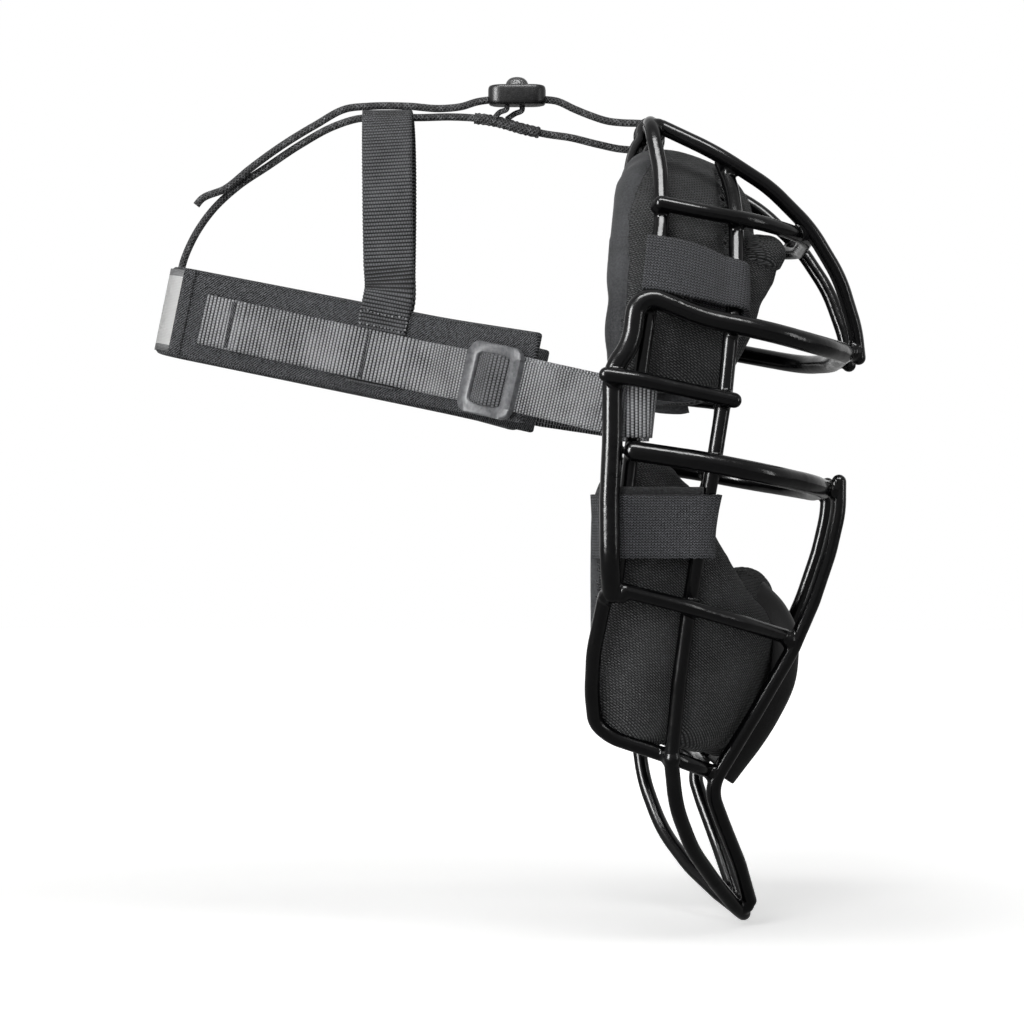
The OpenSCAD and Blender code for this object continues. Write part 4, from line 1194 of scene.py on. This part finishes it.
def pads():
    # Seams as the photograph's pixels, and the pads' inner middle in millimetres
    upper_seam = ((655, 158), (648, 168), (638, 186), (629, 214), (628, 236), (629, 258), (626, 302),
                  (621, 330))
    lower_seam = ((599, 540), (598, 560), (597, 600), (597, 640), (600, 668))
    channel = ((700, 150), (713, 160), (721, 174), (724, 190), (726, 215), (727, 245))
    for name, node, word, pixels, inner, shape in (
            ("brow_pad", "upper_pad", "upper", upper_seam, 60, brow_shape),
            ("jaw_pad", "lower_pad", "lower", lower_seam, 40, jaw_shape)):
        piece = padding(name, node, shape)
        subdivided(piece)
        surface = BVHTree.FromObject(piece, bpy.context.evaluated_depsgraph_get())
        lines = [seam_line(surface, pixels, side) for side, _ in SIDES]
        groove(piece, lines, 0.9, 1.3)
        if word == "upper":
            groove(piece, [seam_line(surface, channel, side) for side, _ in SIDES], 3.2, 2.6)
        heights, reach = zip(*sorted((p.z / MM, p.x / MM) for p in lines[0]))
        finish_pad(piece, node, lambda z: float(np.interp(z, heights, reach)), inner)
        surface = BVHTree.FromObject(piece, bpy.context.evaluated_depsgraph_get())
        for line, (_, side) in zip(lines, SIDES):
            seam_thread(f"{word}_pad_seam_{side}", line[::2], surface)


pads()
lobes()


# ---------------------------------------------------------------- chin flap and loop patches
def cupped(far, across, out):
    """The flap's sides bend back round the pad."""
    return 0, -0.085 * max(0, abs(across) - 18) ** 2


def chin_flap():
    line = ((147.6, -67.4), (156, -76.4), (161.2, -88), (161.4, -97.4), (160.2, -106.6),
            (153.8, -121.2), (145.8, -133.8), (140.6, -140.6), (135.6, -147.2))
    wide, thick, sewn = 58, 2.2, 26
    rows = []
    for k, (x, z) in enumerate(line):
        a, b = line[max(k - 1, 0)], line[min(k + 1, len(line) - 1)]
        out = Vector((a[1] - b[1], 0, b[0] - a[0])).normalized()
        rows.append([Vector((x, 0, z)) - out * thick / 2, Vector((0, 1, 0)), out])
    piece, length = strap("chin_flap_vinyl", rows, wide, thick, VINYL, "cage",
                          ["chin_flap"], step=1.5, cells=24, relief=cupped)
    rounded(piece, 0.6, 2)
    for side, word in SIDES:
        edge = [spot + out * (1.25 + cupped(0, sewn, 0)[1]) + Vector((0, side * sewn, 0))
                for spot, _, out in smooth_rows(rows, 3)[1:-1]]
        stitches(f"chin_flap_stitch_{word}", edge, "cage", VINYL)


def loop_patches():
    for word in ("left", "right"):
        bm = bmesh.new()
        bm.from_mesh(frame["nodes"][f"upper_patch_{word}"].data)
        bmesh.ops.remove_doubles(bm, verts=bm.verts, dist=1e-5)
        bmesh.ops.bisect_plane(bm, geom=bm.verts[:] + bm.edges[:] + bm.faces[:], clear_inner=True,
                               plane_co=(PATCH_START * MM, 0, 0), plane_no=(1, 0, 0))
        close(bm)
        piece = finished(f"loop_patch_{word}", bm, LOOP, "cage",
                         [f"upper_patch_{word}"])
        rounded(piece, 0.3, 2)


def small_tabs():
    """The vinyl tabs that tie the brow pad to the frame's top, and the hems under the brow pad."""
    across, hub = Vector((0, 1, 0)), Vector((103.2, 0, 109.6))
    rows = [[Vector((x, 0, z)), across, Vector((-0.8, 0, 0.4))]
            for x, z in ((94.2, 82), (94, 90), (94.9, 98), (96.8, 104))]
    for turn in range(200, -46, -35):
        way = Vector((cos(radians(turn)), 0, sin(radians(turn))))
        rows.append([hub + way * 4.4, across, way])
    rows += [[Vector((x, 0, z)), across, Vector((0.6, 0, -0.6))]
             for x, z in ((102.4, 103.4), (100.6, 98))]
    for side, word in SIDES:
        shifted = [[spot + across * side * 11.5, over, out] for spot, over, out in rows]
        piece, _ = strap(f"frame_tab_{word}", shifted, 13, 3.2, VINYL, "cage", [],
                         step=0.9)
        rounded(piece, 0.8, 3)
    for side, word in SIDES:
        rows = [[Vector((x, side * 60.6, z)), Vector((0.05, side * -0.2, 1)), Vector((0, side, 0))]
                for x, z in ((103.5, 5.2), (107, 4.4), (112, 3.9), (117, 3.9), (119.5, 4.4))]
        strap(f"brow_pad_hem_{word}", rows, 5, 1.6, SUEDE, "cage", [], step=0.9)


chin_flap()
loop_patches()
small_tabs()


# ---------------------------------------------------------------- welds
MEET = 0.0013        # metres between two meshes that count as touching
JOINT = 0.012        # metres across one weld
WELD, REACH, WELD_CELL = 3.5, 7.5, 0.62      # millimetres: its radius, what is kept, mesh step


def rod_like(node):
    return "_rod" in node or "ear_bar" in node


def crossings():
    """Where two rods are welded: the middles of the places where their meshes meet."""
    found = []
    for a, b in frame["record"]["behaviour"]["press_fits"]:
        if not (rod_like(a) and rod_like(b)):
            continue
        other = frame["nodes"][b].data
        tree = BVHTree.FromPolygons([v.co for v in other.vertices],
                                    [f.vertices for f in other.polygons])
        near = []
        for v in frame["nodes"][a].data.vertices:
            spot = tree.find_nearest(v.co, MEET)[0]
            if spot:
                near.append(spot)
        while near:
            group = [p for p in near if (p - near[0]).length < JOINT]
            near = [p for p in near if (p - near[0]).length >= JOINT]
            found.append(sum(group, Vector()) / len(group))
    return found


def welds():
    """Beads and coating that fill the corners where rods cross."""
    spots = crossings()
    bm = bmesh.new()
    for node, made in frame["nodes"].items():
        if rod_like(node):
            bm.from_mesh(made.data)
    bmesh.ops.remove_doubles(bm, verts=bm.verts, dist=1e-6)
    for spot in spots:
        bmesh.ops.create_icosphere(bm, subdivisions=3, radius=WELD * MM,
                                   matrix=Matrix.Translation(spot))
    piece = finished("weld_fillets", bm, COAT, None)
    evened(piece, WELD_CELL, 9)
    bm = bmesh.new()
    bm.from_mesh(piece.data)
    tree = nearest_of(spots)
    far = [v for v in bm.verts if tree.find(v.co)[2] > REACH * MM]
    bmesh.ops.delete(bm, geom=far, context="VERTS")
    close(bm)
    bm.to_mesh(piece.data)
    bm.free()
    piece.data.materials.clear()
    piece.data.materials.append(COAT)
    piece.data.shade_smooth()
    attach(piece, "cage")


welds()


# ---------------------------------------------------------------- rods and what is left of the CAD
for node, made in frame["nodes"].items():
    finish = COAT if rod_like(node) else SPRING if "spring" in node else None
    if finish:
        for slot in made.material_slots:
            slot.material = finish
